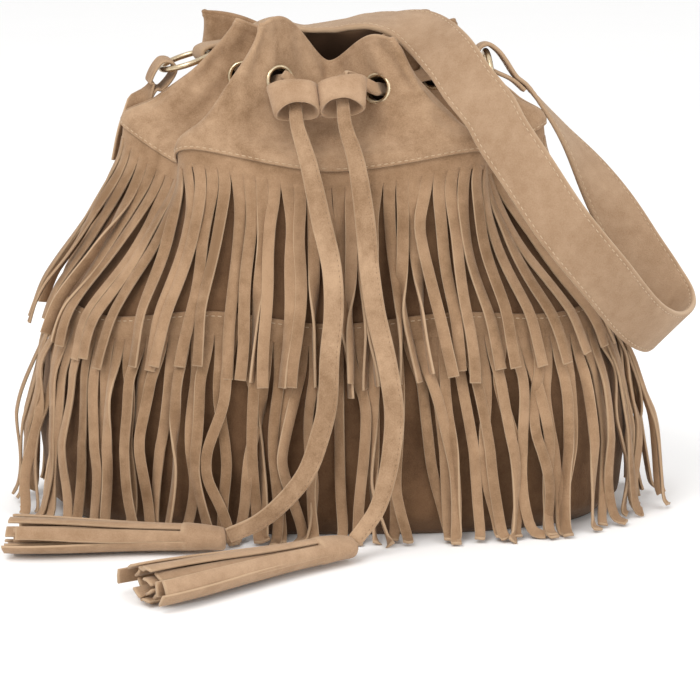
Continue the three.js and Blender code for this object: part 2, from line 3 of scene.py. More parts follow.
import bpy
import numpy as np
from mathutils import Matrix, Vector

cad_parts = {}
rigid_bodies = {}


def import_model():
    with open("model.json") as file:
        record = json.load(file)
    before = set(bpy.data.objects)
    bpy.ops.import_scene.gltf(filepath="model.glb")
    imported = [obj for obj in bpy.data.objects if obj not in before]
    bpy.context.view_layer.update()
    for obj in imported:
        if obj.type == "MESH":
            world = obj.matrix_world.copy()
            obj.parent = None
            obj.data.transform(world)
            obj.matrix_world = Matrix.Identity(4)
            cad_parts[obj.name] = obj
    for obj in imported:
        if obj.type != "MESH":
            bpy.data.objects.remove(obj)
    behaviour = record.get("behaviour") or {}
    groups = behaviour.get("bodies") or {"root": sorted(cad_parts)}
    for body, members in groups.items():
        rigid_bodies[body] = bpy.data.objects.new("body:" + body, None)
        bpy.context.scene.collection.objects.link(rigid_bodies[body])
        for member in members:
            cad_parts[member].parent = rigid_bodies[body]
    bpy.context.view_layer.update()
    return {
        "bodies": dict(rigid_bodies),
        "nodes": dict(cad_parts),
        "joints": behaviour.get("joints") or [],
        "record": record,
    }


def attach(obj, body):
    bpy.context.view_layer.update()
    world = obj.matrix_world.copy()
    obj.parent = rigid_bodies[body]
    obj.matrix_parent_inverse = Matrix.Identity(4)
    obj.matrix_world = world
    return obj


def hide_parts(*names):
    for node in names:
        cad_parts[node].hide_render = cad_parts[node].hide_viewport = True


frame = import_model()

# Lengths are in millimetres here and are turned to metres where a mesh is made.
metre = 0.001


# camera

camera = {"target": (8.8, 0, 79.5), "distance": 1250, "elevation": 12, "lens": 124.05, "sensor": 36}


def makeCamera():
    # the camera stands back from its target along -Y, raised by its elevation
    data = bpy.data.cameras.new("camera")
    data.lens = camera["lens"]
    data.sensor_width = camera["sensor"]
    data.clip_end = 50
    lens = bpy.data.objects.new("camera", data)
    rise = np.radians(camera["elevation"])
    back = Vector((0, -np.cos(rise), np.sin(rise))) * camera["distance"] * metre
    lens.location = Vector(camera["target"]) * metre + back
    lens.rotation_euler = (-back).to_track_quat("-Z", "Y").to_euler()
    bpy.context.scene.collection.objects.link(lens)
    bpy.context.scene.camera = lens


makeCamera()
print("camera placed")


# meshes

def makeMesh(name, points, faces, attributes=None):
    # faces is a list of index arrays, one for each number of corners; a closed mesh that comes out
    # with a negative volume, the sum of its corners' triple products, has its faces turned round
    points = np.asarray(points, float).reshape(-1, 3)
    quads = faces[0]
    a, b, c, d = (points[quads[:, i]] for i in range(4))
    volume = (a * (np.cross(b, c) + np.cross(c, d))).sum()
    if volume < 0:
        faces = [f[:, ::-1] for f in faces]
    mesh = bpy.data.meshes.new(name)
    mesh.vertices.add(len(points))
    mesh.vertices.foreach_set("co", (points * metre).ravel())
    mesh.loops.add(sum(f.size for f in faces))
    mesh.loops.foreach_set("vertex_index", np.concatenate([f.ravel() for f in faces]))
    corners = np.concatenate([np.full(len(f), f.shape[1]) for f in faces])
    mesh.polygons.add(len(corners))
    mesh.polygons.foreach_set("loop_start", np.concatenate([[0], np.cumsum(corners)[:-1]]))
    mesh.update(calc_edges=True)
    mesh.validate()
    for key, values in (attributes or {}).items():
        attribute = mesh.attributes.new(key, "FLOAT", "POINT")
        attribute.data.foreach_set("value", np.asarray(values, float).ravel())
    mesh.shade_smooth()
    piece = bpy.data.objects.new(name, mesh)
    bpy.context.scene.collection.objects.link(piece)
    return piece


def tubes(points):
    # faces of closed tubes from an array (tubes, rings, corners, 3): quads between neighbouring rings,
    # and one face with all the corners at each end
    count, rings, corners = points.shape[:3]
    index = np.arange(count * rings * corners).reshape(count, rings, corners)
    turned = np.roll(index, -1, axis=2)
    quads = np.stack([index[:, :-1], turned[:, :-1], turned[:, 1:], index[:, 1:]], -1).reshape(-1, 4)
    ends = np.concatenate([index[:, 0, ::-1], index[:, -1]])
    return [quads, ends]


def shell(outer, inner, keep):
    # faces of a wall from two grids (rows, columns, 3): the kept cells of both, and a face across the
    # wall wherever a kept cell has no kept neighbour
    rows, columns = outer.shape[:2]
    index = np.arange(rows * columns).reshape(rows, columns)
    other = index + rows * columns
    cell = lambda g: np.stack([g[:-1, :-1], g[:-1, 1:], g[1:, 1:], g[1:, :-1]], -1)
    quads = [cell(index)[keep], cell(other)[keep][:, ::-1]]
    edge = np.pad(keep, 1)
    inside = edge[1:-1, 1:-1]
    low, high = slice(None, -1), slice(1, None)
    sides = [
        (edge[:-2, 1:-1], index[low, low], index[low, high]),
        (edge[2:, 1:-1], index[high, high], index[high, low]),
        (edge[1:-1, :-2], index[high, low], index[low, low]),
        (edge[1:-1, 2:], index[low, high], index[high, high]),
    ]
    for beyond, first, second in sides:
        open_ = inside & ~beyond
        p, q = first[open_], second[open_]
        quads.append(np.stack([q, p, p + rows * columns, q + rows * columns], -1))
    return np.concatenate([outer.reshape(-1, 3), inner.reshape(-1, 3)]), [np.concatenate(quads)]


def smoothstep(x, low, high):
    t = np.clip((x - low) / (high - low), 0, 1)
    return t * t * (3 - 2 * t)


def unit(v):
    return v / np.maximum(np.linalg.norm(v, axis=-1, keepdims=True), 1e-9)


def spline(points, t, closed=False):
    # uniform Catmull-Rom curve: the cubic of each span takes its end slopes from the points beside it
    points = np.asarray(points, float)
    count = len(points)
    spans = count if closed else count - 1
    place = (np.mod(t, 1) if closed else np.clip(t, 0, 1)) * spans
    start = np.minimum(np.floor(place).astype(int), spans - 1)
    f = (place - start)[..., None]
    around = (lambda i: np.mod(i, count)) if closed else (lambda i: np.clip(i, 0, count - 1))
    a, b, c, d = (points[around(start + k)] for k in (-1, 0, 1, 2))
    return b + 0.5 * f * (c - a + f * (2 * a - 5 * b + 4 * c - d + f * (3 * (b - c) + d - a)))


# the bag's surfaces, the same as the frame's but for two humps of the rim

form = {
    "squareness": 2.6,
    "seamHeight": 190,
    "lowerSeam": 0.58,
    "halfway": 0.62,
    "folds": 6,
    "humps": np.array([7, 0, 0, 0, 0, 0, -10, 5, 0, 0, 0, 11.0]),
    "soft": 0.06,
    "profile": np.array([
        (0, 138, 68), (10, 149, 75), (42, 152, 77), (80, 147, 75),
        (113, 139, 72), (150, 127, 68), (190, 108, 62),
    ], float),
    "seam": np.array([
        (0, -61, 184), (69, -53, 193), (76, -30, 187), (105, -6, 201), (80, 24, 194), (68, 53, 197),
        (0, 60, 192), (-68, 53, 197), (-80, 27, 194), (-104, -6, 201), (-76, -30, 184), (-68, -52, 194),
    ], float),
    "rim": np.array([
        (-2, -20, 231), (29, -45, 244.5), (17, -7, 238), (60, -10, 251), (20, 14, 238), (49, 38, 252),
        (0, 27, 246), (-67, 41, 252), (-20, 18, 237), (-47, -9, 251), (-14, -6, 238), (-34, -45, 251.5),
    ], float),
}


def superellipse(wide, deep, angle):
    # |x / wide|^n + |y / deep|^n = 1, from the front centre towards +X
    power = lambda v: np.sign(v) * np.abs(v) ** (2 / form["squareness"])
    return np.stack([wide * power(np.sin(angle)), -deep * power(np.cos(angle))], -1)


# the outline at the fourth level of the profile stands for the girth at every level
girthAngles = np.linspace(0, 2 * np.pi, 721)
girthPoints = superellipse(*form["profile"][3, 1:], girthAngles)
girthLengths = np.concatenate([[0], np.cumsum(np.linalg.norm(np.diff(girthPoints, axis=0), axis=1))])


def angleAt(u):
    # the angle at which a share u of the girth's length has gone by
    return np.interp(np.mod(u, 1) * girthLengths[-1], girthLengths, girthAngles)


def foldShare(h):
    # close to 0 below the lower seam, then rising evenly to 1 at the neck's seam, with a soft start
    rise = (h - form["lowerSeam"]) / (1 - form["lowerSeam"])
    return form["soft"] * np.logaddexp(0, rise / form["soft"])


def bodyPoint(u, h):
    # a superellipse from the profile, drawn towards the seam's folds above the lower seam
    u, h = np.broadcast_arrays(np.asarray(u, float), np.asarray(h, float))
    fold = spline(form["seam"], u, closed=True)
    rows = form["profile"]
    wide, deep = (np.interp(h * form["seamHeight"], rows[:, 0], rows[:, k]) for k in (1, 2))
    plain = superellipse(wide, deep, angleAt(u))
    share = foldShare(h)[..., None]
    flat = plain * (1 - share) + fold[..., :2] * share
    return np.concatenate([flat, (h * fold[..., 2])[..., None]], -1)


def humpAt(u):
    # the squared sine by which the rim bulges up, or sags, between each two apexes
    place = np.mod(u, 1) * 2 * form["folds"]
    return form["humps"][np.floor(place).astype(int) % len(form["humps"])] * np.sin(np.pi * place) ** 2


def neckPoint(u, s):
    # from the seam's folds to the rim's, most of the way by half the height, and up to the humps
    u, s = np.broadcast_arrays(np.asarray(u, float), np.asarray(s, float))
    low, high = spline(form["seam"], u, closed=True), spline(form["rim"], u, closed=True)
    drawn = (s + 4 * (form["halfway"] - 0.5) * s * (1 - s))[..., None]
    flat = low[..., :2] * (1 - drawn) + high[..., :2] * drawn
    level = low[..., 2] + (high[..., 2] - low[..., 2]) * s + humpAt(u) * s ** 3
    return np.concatenate([flat, level[..., None]], -1)


def normalAt(surface, u, v, step=0.002):
    # the cross product of the slopes along both parameters
    along = surface(u + step, v) - surface(u - step, v)
    return unit(np.cross(along, surface(u, v + step) - surface(u, v - step)))


def offset(surface, u, v, out):
    return surface(u, v) + normalAt(surface, u, v) * np.asarray(out, float)[..., None]


# shader nodes

class Value:
    # one output socket; an operator on it adds a Math node

    def __init__(self, tree, socket):
        self.tree, self.socket = tree, socket

    def math(self, operation, first, second):
        return self.tree.node("ShaderNodeMath", {"operation": operation}, {0: first, 1: second}).out()

    def __add__(self, other):
        return self.math("ADD", self, other)

    def __radd__(self, other):
        return self.math("ADD", other, self)

    def __sub__(self, other):
        return self.math("SUBTRACT", self, other)

    def __rsub__(self, other):
        return self.math("SUBTRACT", other, self)

    def __mul__(self, other):
        return self.math("MULTIPLY", self, other)

    def __rmul__(self, other):
        return self.math("MULTIPLY", other, self)

    def clamp(self):
        return self.tree.node("ShaderNodeClamp", {}, {"Value": self}).out()


class Node:
    def __init__(self, tree, node):
        self.tree, self.node = tree, node

    def out(self, name=0):
        return Value(self.tree, self.node.outputs[name])


class Finish:
    # a material's node tree, with its Principled shader at hand

    def __init__(self, name, constants):
        self.material = bpy.data.materials.new(name)
        self.material.use_nodes = True
        self.tree = self.material.node_tree
        self.shader = self.tree.nodes["Principled BSDF"]
        for key, value in constants.items():
            self.shader.inputs[key].default_value = value

    def node(self, kind, settings, values):
        node = self.tree.nodes.new(kind)
        for key, value in settings.items():
            setattr(node, key, value)
        for key, value in values.items():
            self.feed(node.inputs[key], value)
        return Node(self, node)

    def feed(self, socket, value):
        if isinstance(value, Value):
            self.tree.links.new(value.socket, socket)
        elif isinstance(value, tuple) and len(value) == 3 and socket.type == "RGBA":
            socket.default_value = (*value, 1)
        else:
            socket.default_value = value

    def set(self, **values):
        for key, value in values.items():
            self.feed(self.shader.inputs[key.replace("_", " ")], value)

    def noise(self, scale, detail=2, roughness=0.5, distortion=0.0, at=None):
        values = {
            "Vector": at or self.place(), "Scale": scale, "Detail": detail,
            "Roughness": roughness, "Distortion": distortion,
        }
        return self.node("ShaderNodeTexNoise", {}, values).out()

    def place(self):
        return self.node("ShaderNodeTexCoord", {}, {}).out("Object")

    def stretched(self, scale):
        values = {"Vector": self.place(), "Scale": scale}
        return self.node("ShaderNodeMapping", {}, values).out()

    def attribute(self, name):
        return self.node("ShaderNodeAttribute", {"attribute_name": name}, {}).out("Fac")

    def mix(self, factor, first, second):
        return self.node("ShaderNodeMix", {"data_type": "RGBA"}, {0: factor, 6: first, 7: second}).out(2)

    def bump(self, height, distance, strength=1.0):
        values = {"Height": height, "Distance": distance, "Strength": strength}
        self.set(Normal=self.node("ShaderNodeBump", {}, values).out())


def tint(red, green, blue):
    # display values from 0 to 255 as linear light
    v = np.array([red, green, blue]) / 255
    return tuple(float(x) for x in np.where(v <= 0.04045, v / 12.92, ((v + 0.055) / 1.055) ** 2.4))


cutEdge = (188, 160, 130)
# painted shade: the dark colour that the neck's inner face is drawn towards, for the shade inside the
# mouth
paintedInsideShade = (82, 58, 40)


def suedeFinish(name, light, dark, contrast=1.0):
    # blotches where the nap lies both ways, a finer mottle and single fibres; cut edges are paler and
    # the inside of the neck is darkened with painted shade
    finish = Finish(name, {"Sheen Weight": 0.22, "Sheen Roughness": 0.5, "Specular IOR Level": 0.15})
    finish.shader.inputs["Sheen Tint"].default_value = (*tint(238, 226, 210), 1)
    blotch = finish.noise(30, 3, 0.55, 0.7)
    mottle = finish.noise(170, 4, 0.6)
    fibre = finish.noise(1500, 3, 0.7)
    tone = finish.attribute("tone")
    shade = 0.5 + (blotch - 0.5) * (1.7 * contrast) + (mottle - 0.5) + (fibre - 0.5) + tone * 0.3
    colour = finish.mix(shade.clamp(), tint(*dark), tint(*light))
    # painted shade: the attribute inside darkens the neck's inner face towards the painted shade colour
    colour = finish.mix(finish.attribute("inside"), colour, tint(*paintedInsideShade))
    colour = finish.mix((finish.attribute("edge") * 0.7).clamp(), colour, tint(*cutEdge))
    finish.set(Base_Color=colour, Roughness=0.97 - mottle * 0.2)
    finish.bump(fibre * 0.6 + mottle * 0.5 + blotch * 0.6, 0.0006, 0.7)
    return finish.material


def brassFinish():
    finish = Finish("antique_brass", {})
    wear = finish.noise(120, 4, 0.6)
    grime = (finish.noise(420, 3) * 1.6 - 0.45).clamp()
    colour = finish.mix(wear.clamp(), tint(176, 152, 116), tint(240, 222, 190))
    finish.set(Base_Color=finish.mix(grime * 0.5, colour, tint(70, 52, 32)), Metallic=1.0 - grime * 0.15)
    finish.set(Roughness=0.22 + grime * 0.25)
    finish.bump(grime, 0.0001, 0.3)
    return finish.material


def liningFinish():
    finish = Finish("lining_cloth", {"Specular IOR Level": 0.2, "Sheen Weight": 0.1})
    upright, level = (finish.stretched(scale) for scale in ((900, 900, 260), (260, 260, 900)))
    weave = finish.noise(0.9, 2, at=upright) + finish.noise(0.9, 2, at=level)
    colour = finish.mix((weave - 0.5).clamp(), tint(58, 40, 28), tint(98, 74, 54))
    finish.set(Base_Color=colour, Roughness=0.9 - weave * 0.05)
    finish.bump(weave, 0.0003, 0.6)
    return finish.material


def threadFinish(name, dark, light):
    finish = Finish(name, {"Sheen Weight": 0.2, "Specular IOR Level": 0.3})
    strand = finish.noise(1400, 2)
    finish.set(Base_Color=finish.mix(strand, tint(*dark), tint(*light)), Roughness=0.8 - strand * 0.2)
    finish.bump(strand, 0.0002, 0.5)
    return finish.material


def floorFinish():
    finish = Finish("pale_floor", {"Specular IOR Level": 0.1})
    faint = finish.noise(3, 2)
    colour = finish.mix(faint, (0.94, 0.937, 0.932), (0.96, 0.957, 0.952))
    finish.set(Base_Color=colour, Roughness=0.9 - faint * 0.1)
    return finish.material


# painted shade: the body's suede is a darker copy of the neck's, standing in for the shade between and
# behind the strips
shadedBodySuede = suedeFinish("body_suede_painted_shade", (118, 88, 62), (88, 62, 42))
neckSuede = suedeFinish("neck_suede", (176, 145, 115), (128, 99, 72), contrast=1.2)
stripSuede = suedeFinish("fringe_suede", (164, 132, 102), (124, 95, 68))
strapSuede = suedeFinish("strap_suede", (170, 142, 115), (142, 113, 86), contrast=0.7)
cordSuede = suedeFinish("cord_suede", (180, 149, 120), (146, 116, 88), contrast=0.7)
brass, lining = brassFinish(), liningFinish()
thread = threadFinish("thread", (168, 140, 110), (200, 176, 146))
dullThread = threadFinish("dull_thread", (112, 86, 62), (136, 108, 80))


def finishPiece(piece, material, body="bag", nodes=()):
    # its material, what it rides on and what it stands for
    piece.data.materials.append(material)
    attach(piece, body)
    if nodes:
        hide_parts(*nodes)
    return piece


# bands and stitches

def bandSection(half, thick, groove=0.0):
    # half a section's corners from its edge inwards, top then bottom: the edges are rounded, a groove
    # lies under each row of stitches and the middle is a little proud
    insets = np.array([0, 0.35, 1.0, 1.6, 2.1, 2.6, 4.2])
    rise = np.array([0.42, 0.86, 1.0, 1.0, 1 - groove, 1.0, 1.03])
    scale = np.minimum(1, half / 6)[..., None]
    reach = half[..., None] - insets * scale
    top = np.concatenate([reach, 0 * half[..., None], -reach[..., ::-1]], -1)
    up = np.concatenate([rise, [1.05], rise[::-1]]) * thick[..., None] / 2
    x = np.concatenate([top, top[..., ::-1]], -1)
    y = np.concatenate([up, -up[..., ::-1]], -1)
    edge = np.concatenate([[1, 0.3, 0, 0, 0, 0, 0], [0], [0, 0, 0, 0, 0, 0.3, 1]])
    return x, y, np.broadcast_to(np.concatenate([edge, edge[::-1]]), x.shape)


def carry(stations, steps):
    # places, side and face directions and sizes along stations of [place, side, width, thickness]; the
    # side is squared to the line ahead, and the face is the cross product of both
    t = np.linspace(0, 1, steps + 1)
    column = lambda i: np.array([np.atleast_1d(s[i]) for s in stations], float)
    places = column(0)
    place = spline(places, t)
    ahead = unit(spline(places, t + 0.25 / steps) - spline(places, t - 0.25 / steps))
    side = spline(column(1), t)
    side = unit(side - ahead * (side * ahead).sum(-1, keepdims=True))
    return place, side, np.cross(ahead, side), spline(column(2), t)[:, 0], spline(column(3), t)[:, 0]


def band(name, frame, groove=0.0):
    place, side, face, wide, thick = frame
    x, y, edge = bandSection(wide / 2, thick, groove)
    points = place[:, None] + side[:, None] * x[..., None] + face[:, None] * y[..., None]
    edge = edge.copy()
    edge[[0, -1]] = 1
    return makeMesh(name, points, tubes(points[None]), {"edge": edge})


seamStitch = {"length": 2.0, "gap": 1.3, "thick": 0.5, "thread": thread}
rimStitch = {"length": 1.5, "gap": 1.4, "thick": 0.36, "thread": thread}
tailStitch = {"length": 0.9, "gap": 1.7, "thick": 0.34, "thread": dullThread}
stitchCorners = 6


def stitches(name, rows, seam=seamStitch):
    # small capsules along each row of (places, outward directions), thinner towards both ends
    made = []
    along = np.array([-1, -0.75, 0, 0.75, 1])
    fat = np.array([0.4, 0.85, 1, 0.85, 0.4])
    turn = np.arange(stitchCorners) / stitchCorners * 2 * np.pi
    for places, out in rows:
        length = np.concatenate([[0], np.cumsum(np.linalg.norm(np.diff(places, axis=0), axis=1))])
        pitch = seam["length"] + seam["gap"]
        at = np.arange(pitch, length[-1] - pitch / 2, pitch)
        pick = lambda v, s: np.stack([np.interp(s, length, v[:, k]) for k in range(3)], -1)
        centre, up = pick(places, at), unit(pick(out, at))
        ahead = unit(pick(places, at + 0.6) - pick(places, at - 0.6))
        across = np.cross(ahead, up)
        spine = centre[:, None] + ahead[:, None] * (along * seam["length"] / 2)[:, None]
        ring = across[:, None] * np.cos(turn)[:, None]
        ring = ring + np.cross(across, ahead)[:, None] * np.sin(turn)[:, None]
        made.append(spine[:, :, None] + ring[:, None] * (fat * seam["thick"] / 2)[:, None, None])
    points = np.concatenate(made)
    return finishPiece(makeMesh(name, points, tubes(points)), seam["thread"])


# eyelets' places

eyelet = {"outer": 8, "bore": 5.8, "barrel": 6.3, "level": 0.6, "frontShare": 0.5, "share": 0.42}
eyeletU = np.array([
    2 * fold + side * (eyelet["frontShare"] if fold == 0 else eyelet["share"])
    for fold in range(form["folds"]) for side in (-1, 1)
]) / (2 * form["folds"])
eyeletPlace = neckPoint(eyeletU, eyelet["level"])
eyeletOut = normalAt(neckPoint, eyeletU, np.full(eyeletU.shape, eyelet["level"]))
eyeletUp = unit(neckPoint(eyeletU, eyelet["level"] + 0.02) - neckPoint(eyeletU, eyelet["level"] - 0.02))


# the drawstring: two tails in front and the run round the neck

cordForm = {"width": 6.2, "wall": 3, "tailWidth": 9.6, "tailWall": 3}
slide = unit(np.array([0.1, -0.58, -0.81]))
sliderForm = {"place": np.array([-6.5, -58.5, 216.5]), "width": 46, "deep": 14.5, "long": 16, "wall": 2}
tailRoutes = {
    "left": [
        (-11, -73, 186), (-5, -81, 160), (0, -85, 138), (1, -88, 117), (-1, -90, 95), (-2, -92, 73),
        (-6, -94, 56), (-12, -97, 40), (-22, -99, 27), (-35, -100, 16), (-50, -100, 9),
    ],
    "right": [
        (12, -73, 186), (16, -81, 160), (18, -85, 138), (21, -88, 117), (25, -90, 100), (28, -93, 85),
        (30, -96, 69), (29, -100, 53), (26, -104, 37), (21, -108, 23), (11, -112, 10),
    ],
}


def tailStations(sign, route):
    loop = lambda along: sliderForm["place"] + (sign * sliderForm["width"] / 4, 0, 0) + slide * along
    flat = (1, 0, 0)
    start = [
        [loop(-11) + (3.6 * sign, 3.0, 1.0), (0.6, 0.2, 0.7), 4.4, 2.4],
        [loop(-7), flat, 5.5, cordForm["wall"]],
        [loop(4), flat, 6.2, cordForm["wall"]],
        [loop(16), flat, 6.8, cordForm["wall"]],
    ]
    wide = [8.4] + [cordForm["tailWidth"]] * (len(route) - 5) + [9.2, 8.6, 8, 7.4]
    return start + [[p, flat, w, cordForm["tailWall"]] for p, w in zip(route, wide)]


def runStations():
    # outside the valleys and inside the ridges, with a point between each two eyelets
    stations = []
    size = (cordForm["width"], cordForm["wall"])
    count = len(eyeletU)
    for k in range(count):
        here, inward = (k + 1) % count, 1 if k % 2 == 0 else -1
        place, out, up = eyeletPlace[here], eyeletOut[here], eyeletUp[here]
        stations += [[place + out * depth * inward, up, *size] for depth in (4.5, 0, -4.5)]
        if k < count - 1:
            after = (k + 2) % count
            reach = np.linalg.norm(eyeletPlace[after] - place) * 0.28
            lift = -inward * max(5.5, min(reach, 9))
            middle = (place + out * lift + eyeletPlace[after] + eyeletOut[after] * lift) / 2
            stations.append([middle, up + eyeletUp[after], *size])
    return stations


def lengthOf(path):
    return float(np.linalg.norm(np.diff(path, axis=0), axis=1).sum())


# one flat cord: the left tail from its tip, the run from the left eyelet round to the right one and the
# right tail; it is sampled once and cut where the tails enter the slider
leftStations, rightStations = tailStations(-1, tailRoutes["left"]), tailStations(1, tailRoutes["right"])
cordStations = leftStations[::-1] + runStations()[::-1] + rightStations
spanSteps = 12
cordFrame = carry(cordStations, (len(cordStations) - 1) * spanSteps)
leftCut = (len(leftStations) - 1) * spanSteps
rightCut = (len(cordStations) - len(rightStations)) * spanSteps
tailFrames = {
    "left": [v[leftCut::-1] for v in cordFrame],
    "right": [v[rightCut:] for v in cordFrame],
}
runFrame = [v[leftCut:rightCut + 1] for v in cordFrame]


def makeTail(name):
    place, side, face, wide, thick = tailFrames[name]
    tail = band(f"drawstring_tail_{name}", tailFrames[name], groove=0.1)
    finishPiece(tail, neckSuede, nodes=["drawstring"])
    shown = slice(3 * spanSteps, None)
    front = np.where(face[:, 1:2] > 0, -face, face)
    row = (place + side * (wide / 2 - 1.5)[:, None] + front * (thick / 2 - 0.1)[:, None])[shown]
    stitches(f"tail_stitches_{name}", [(row, front[shown])], seam=tailStitch)
    return tail


tails = {name: makeTail(name) for name in tailFrames}
run = finishPiece(band("drawstring_run", runFrame), cordSuede, nodes=["drawstring"])
print("drawstring made")


# tassels: flat strands rolled up in a wrapped head

tassel = {
    "strand": 7.2, "wall": 1.3, "rings": 24, "head": 20, "layers": ((7, 1.0), (7, 0.68), (3, 0.3)),
    "left": ((-52, -100, 8), (-158, -98, 7)), "right": ((9, -113, 9), (-88, -184, 7)),
}


def stripSection(wide, thick, cup=0.0):
    # ten corners of a thin strip: edges a little rounded, the middle cupped by the square of its place
    x = np.array([1, 1, 0.9, 0, -0.9, -1, -1, -0.9, 0, 0.9])
    y = np.array([-0.55, 0.55, 1, 1, 1, 0.55, -0.55, -1, -1, -1])
    edge = np.array([1, 1, 0.1, 0, 0.1, 1, 1, 0.1, 0, 0.1])
    wide, thick, cup = (np.asarray(v, float)[..., None] for v in (wide, thick, cup))
    return x * wide / 2, y * thick / 2 + cup * x * x, np.broadcast_to(edge, wide.shape[:-1] + edge.shape)


def strips(place, side, wide, thick, cup, tone):
    # points and attributes of flat strips along lines (strips, rings, 3), each with its side direction
    ahead = unit(np.gradient(place, axis=1))
    side = unit(side - ahead * (side * ahead).sum(-1, keepdims=True))
    face = np.cross(ahead, side)
    x, y, edge = stripSection(wide, thick, cup)
    points = place[:, :, None] + side[:, :, None] * x[..., None] + face[:, :, None] * y[..., None]
    edge = np.broadcast_to(edge, x.shape).copy()
    edge[:, -1] = 1
    return points, {"edge": edge, "tone": np.broadcast_to(tone[..., None], x.shape)}


def headHalves(s):
    # the wrapped head's half width and half height, which grow a little away from the cord
    return 6.6 + 1.8 * s, 5.3 + 1.3 * s


def sway(rng, count, size, slowest, fastest, t):
    # a sine along each strip, of random size, speed and start
    column = lambda values: values[:, None]
    size, speed = column(rng.normal(0, size, count)), column(rng.uniform(slowest, fastest, count))
    return size * np.sin(t * speed + column(rng.uniform(0, 6, count)))


def makeTassel(name, seed):
    # layers of strands that leave the head flush with its outside, fan out, sink to the floor and wander
    rng = np.random.default_rng(seed)
    head, tip = (np.array(p, float) for p in tassel[name])
    along = unit(tip - head)
    across = np.cross((0, 0, 1.0), along)
    length = np.linalg.norm(tip - head)
    up = np.cross(along, across)
    t = np.append(np.linspace(0, 0.99, tassel["rings"] - 1), 1)[None]
    headEnd = tassel["head"] / length
    fan = smoothstep(t, headEnd, 1.0)
    wideHead, tallHead = headHalves(np.minimum(t / headEnd, 1))
    lines, sides, tones = [], [], []
    for count, share in tassel["layers"]:
        turns = (np.arange(count) + 0.5 * (share < 1) + rng.uniform(-0.16, 0.16, count)) / count
        angle = turns * 2 * np.pi + 0.5
        angle = angle[:, None] + rng.normal(0, 0.16, (count, 1)) * t
        reach = length * (0.96 + rng.uniform(-0.05, 0.02, (count, 1))) * t
        sink = 1.7 * smoothstep(t, 0, 0.6 * headEnd) - 2.3
        wide = (wideHead + sink + 9.0 * fan) * share
        tall = (tallHead + sink + 2.4 * fan) * share
        wave = sway(rng, count, 1.3, 3, 8, t)
        x = np.cos(angle) * wide + wave * fan
        z = np.sin(angle) * tall + rng.normal(0, 0.8, (count, 1)) * fan
        base = tallHead + 1.8 + 1.0 * fan
        place = head + along * (reach[..., None] + 1.6) + across * x[..., None]
        place[..., 2] = np.maximum(base + z, 0.9 + rng.uniform(0, 0.5, (count, 1)))
        lines.append(place)
        sides.append(across * (-np.sin(angle) * wide)[..., None] + up * (np.cos(angle) * tall)[..., None])
        tones.append(rng.uniform(-0.7, 0.9, count))
    place, side, tone = np.concatenate(lines), np.concatenate(sides), np.concatenate(tones)
    spread = tassel["strand"] * (0.8 + 0.2 * smoothstep(t, headEnd, 0.5))
    spread = spread * rng.uniform(0.88, 1.05, (len(place), 1))
    cup = 0.8 * (1 - fan) + fan * rng.normal(0.1, 0.5, (len(place), 1))
    tone = tone[:, None] * smoothstep(t, headEnd * 0.9, headEnd * 1.6)
    points, attributes = strips(place, side, spread, np.full(spread.shape, tassel["wall"]), cup, tone)
    points[..., 2] = np.maximum(points[..., 2], 0.3)
    strands = makeMesh(f"tassel_strands_{name}", points, tubes(points), attributes)
    finishPiece(strands, cordSuede, nodes=[f"tassel_{name}"])
    return strands, makeHead(name, head, along, across, up)


def makeHead(name, head, along, across, up):
    # the wrap: a flattened tube with the step of its last turn, its far edge thinned over the strands
    s = np.array([0, 0.015, 0.05, 0.15, 0.35, 0.6, 0.85, 0.97, 1.0])[:, None]
    turn = np.linspace(0, 2 * np.pi, 65)[None, :-1]
    lip = np.array([2.4, 1.0, 0.25, 0, 0, 0, 0, 0.3, 1.2])[:, None]
    step = 0.7 * (np.mod((turn - 2.2) / (2 * np.pi), 1) - 0.5) + 0.25 * np.sin(3 * turn + 4 * s)
    wide, tall = headHalves(s)
    place = head + along * (s * (tassel["head"] + 1.6) - 0.8)[..., None]
    sideways, upwards = np.cos(turn) * (wide + step - lip), np.sin(turn) * (tall + step - lip)
    ring = across * sideways[..., None] + up * upwards[..., None]
    points = place + ring
    points[..., 2] = np.maximum(tall + 1.9 + ring[..., 2], 0.35)
    edge = np.zeros(points.shape[:2])
    edge[-2:] = 0.6
    piece = makeMesh(f"tassel_head_{name}", points, tubes(points[None]), {"edge": edge})
    return finishPiece(piece, cordSuede)


for name, seed in (("left", 11), ("right", 12)):
    pieces = makeTassel(name, seed)
    path = tailFrames[name][0] * metre
runPath = runFrame[0] * metre
lengths = [round(lengthOf(f[0] * metre), 3) for f in (tailFrames["left"], tailFrames["right"], runFrame)]
print("tassels made, tails and run of", lengths, "m")


# body, base and lining

bodyForm = {"wall": 2.0, "columns": 420, "rows": 60, "liningGap": 0.5, "liningWall": 1.0, "top": 0.985,
            "base": (134.5, 64.5)}
halves = {"front": (-0.25, 0.25), "back": (0.25, 0.75)}


def softDents(u, h, size):
    # shallow dents, a sum of slow waves round and up the bag
    return size * (
        np.sin(2 * np.pi * (5 * u + 0.9 * h) + 0.4) * 0.5
        + np.sin(2 * np.pi * (11 * u - 1.7 * h) + 2.0) * 0.35
        + np.sin(2 * np.pi * (19 * u + 2.3 * h) + 4.1) * 0.2
    )


def bodyShell(name, span, inner, outer, low, high):
    # a wall between two offsets of the body's surface, with the dents fading out at its ends
    u = np.linspace(span[0] + 0.0004, span[1] - 0.0004, bodyForm["columns"] // 2)[None]
    h = np.linspace(low, high, bodyForm["rows"])[:, None]
    dents = softDents(u, h, 0.8) * smoothstep(h, 0.03, 0.2) * smoothstep(high - h, 0, 0.1) - 0.4
    grids = [offset(bodyPoint, u, h, edge + dents) for edge in (outer, inner)]
    points, faces = shell(*grids, np.ones((h.size - 1, u.size - 1), bool))
    return makeMesh(name, points, faces)


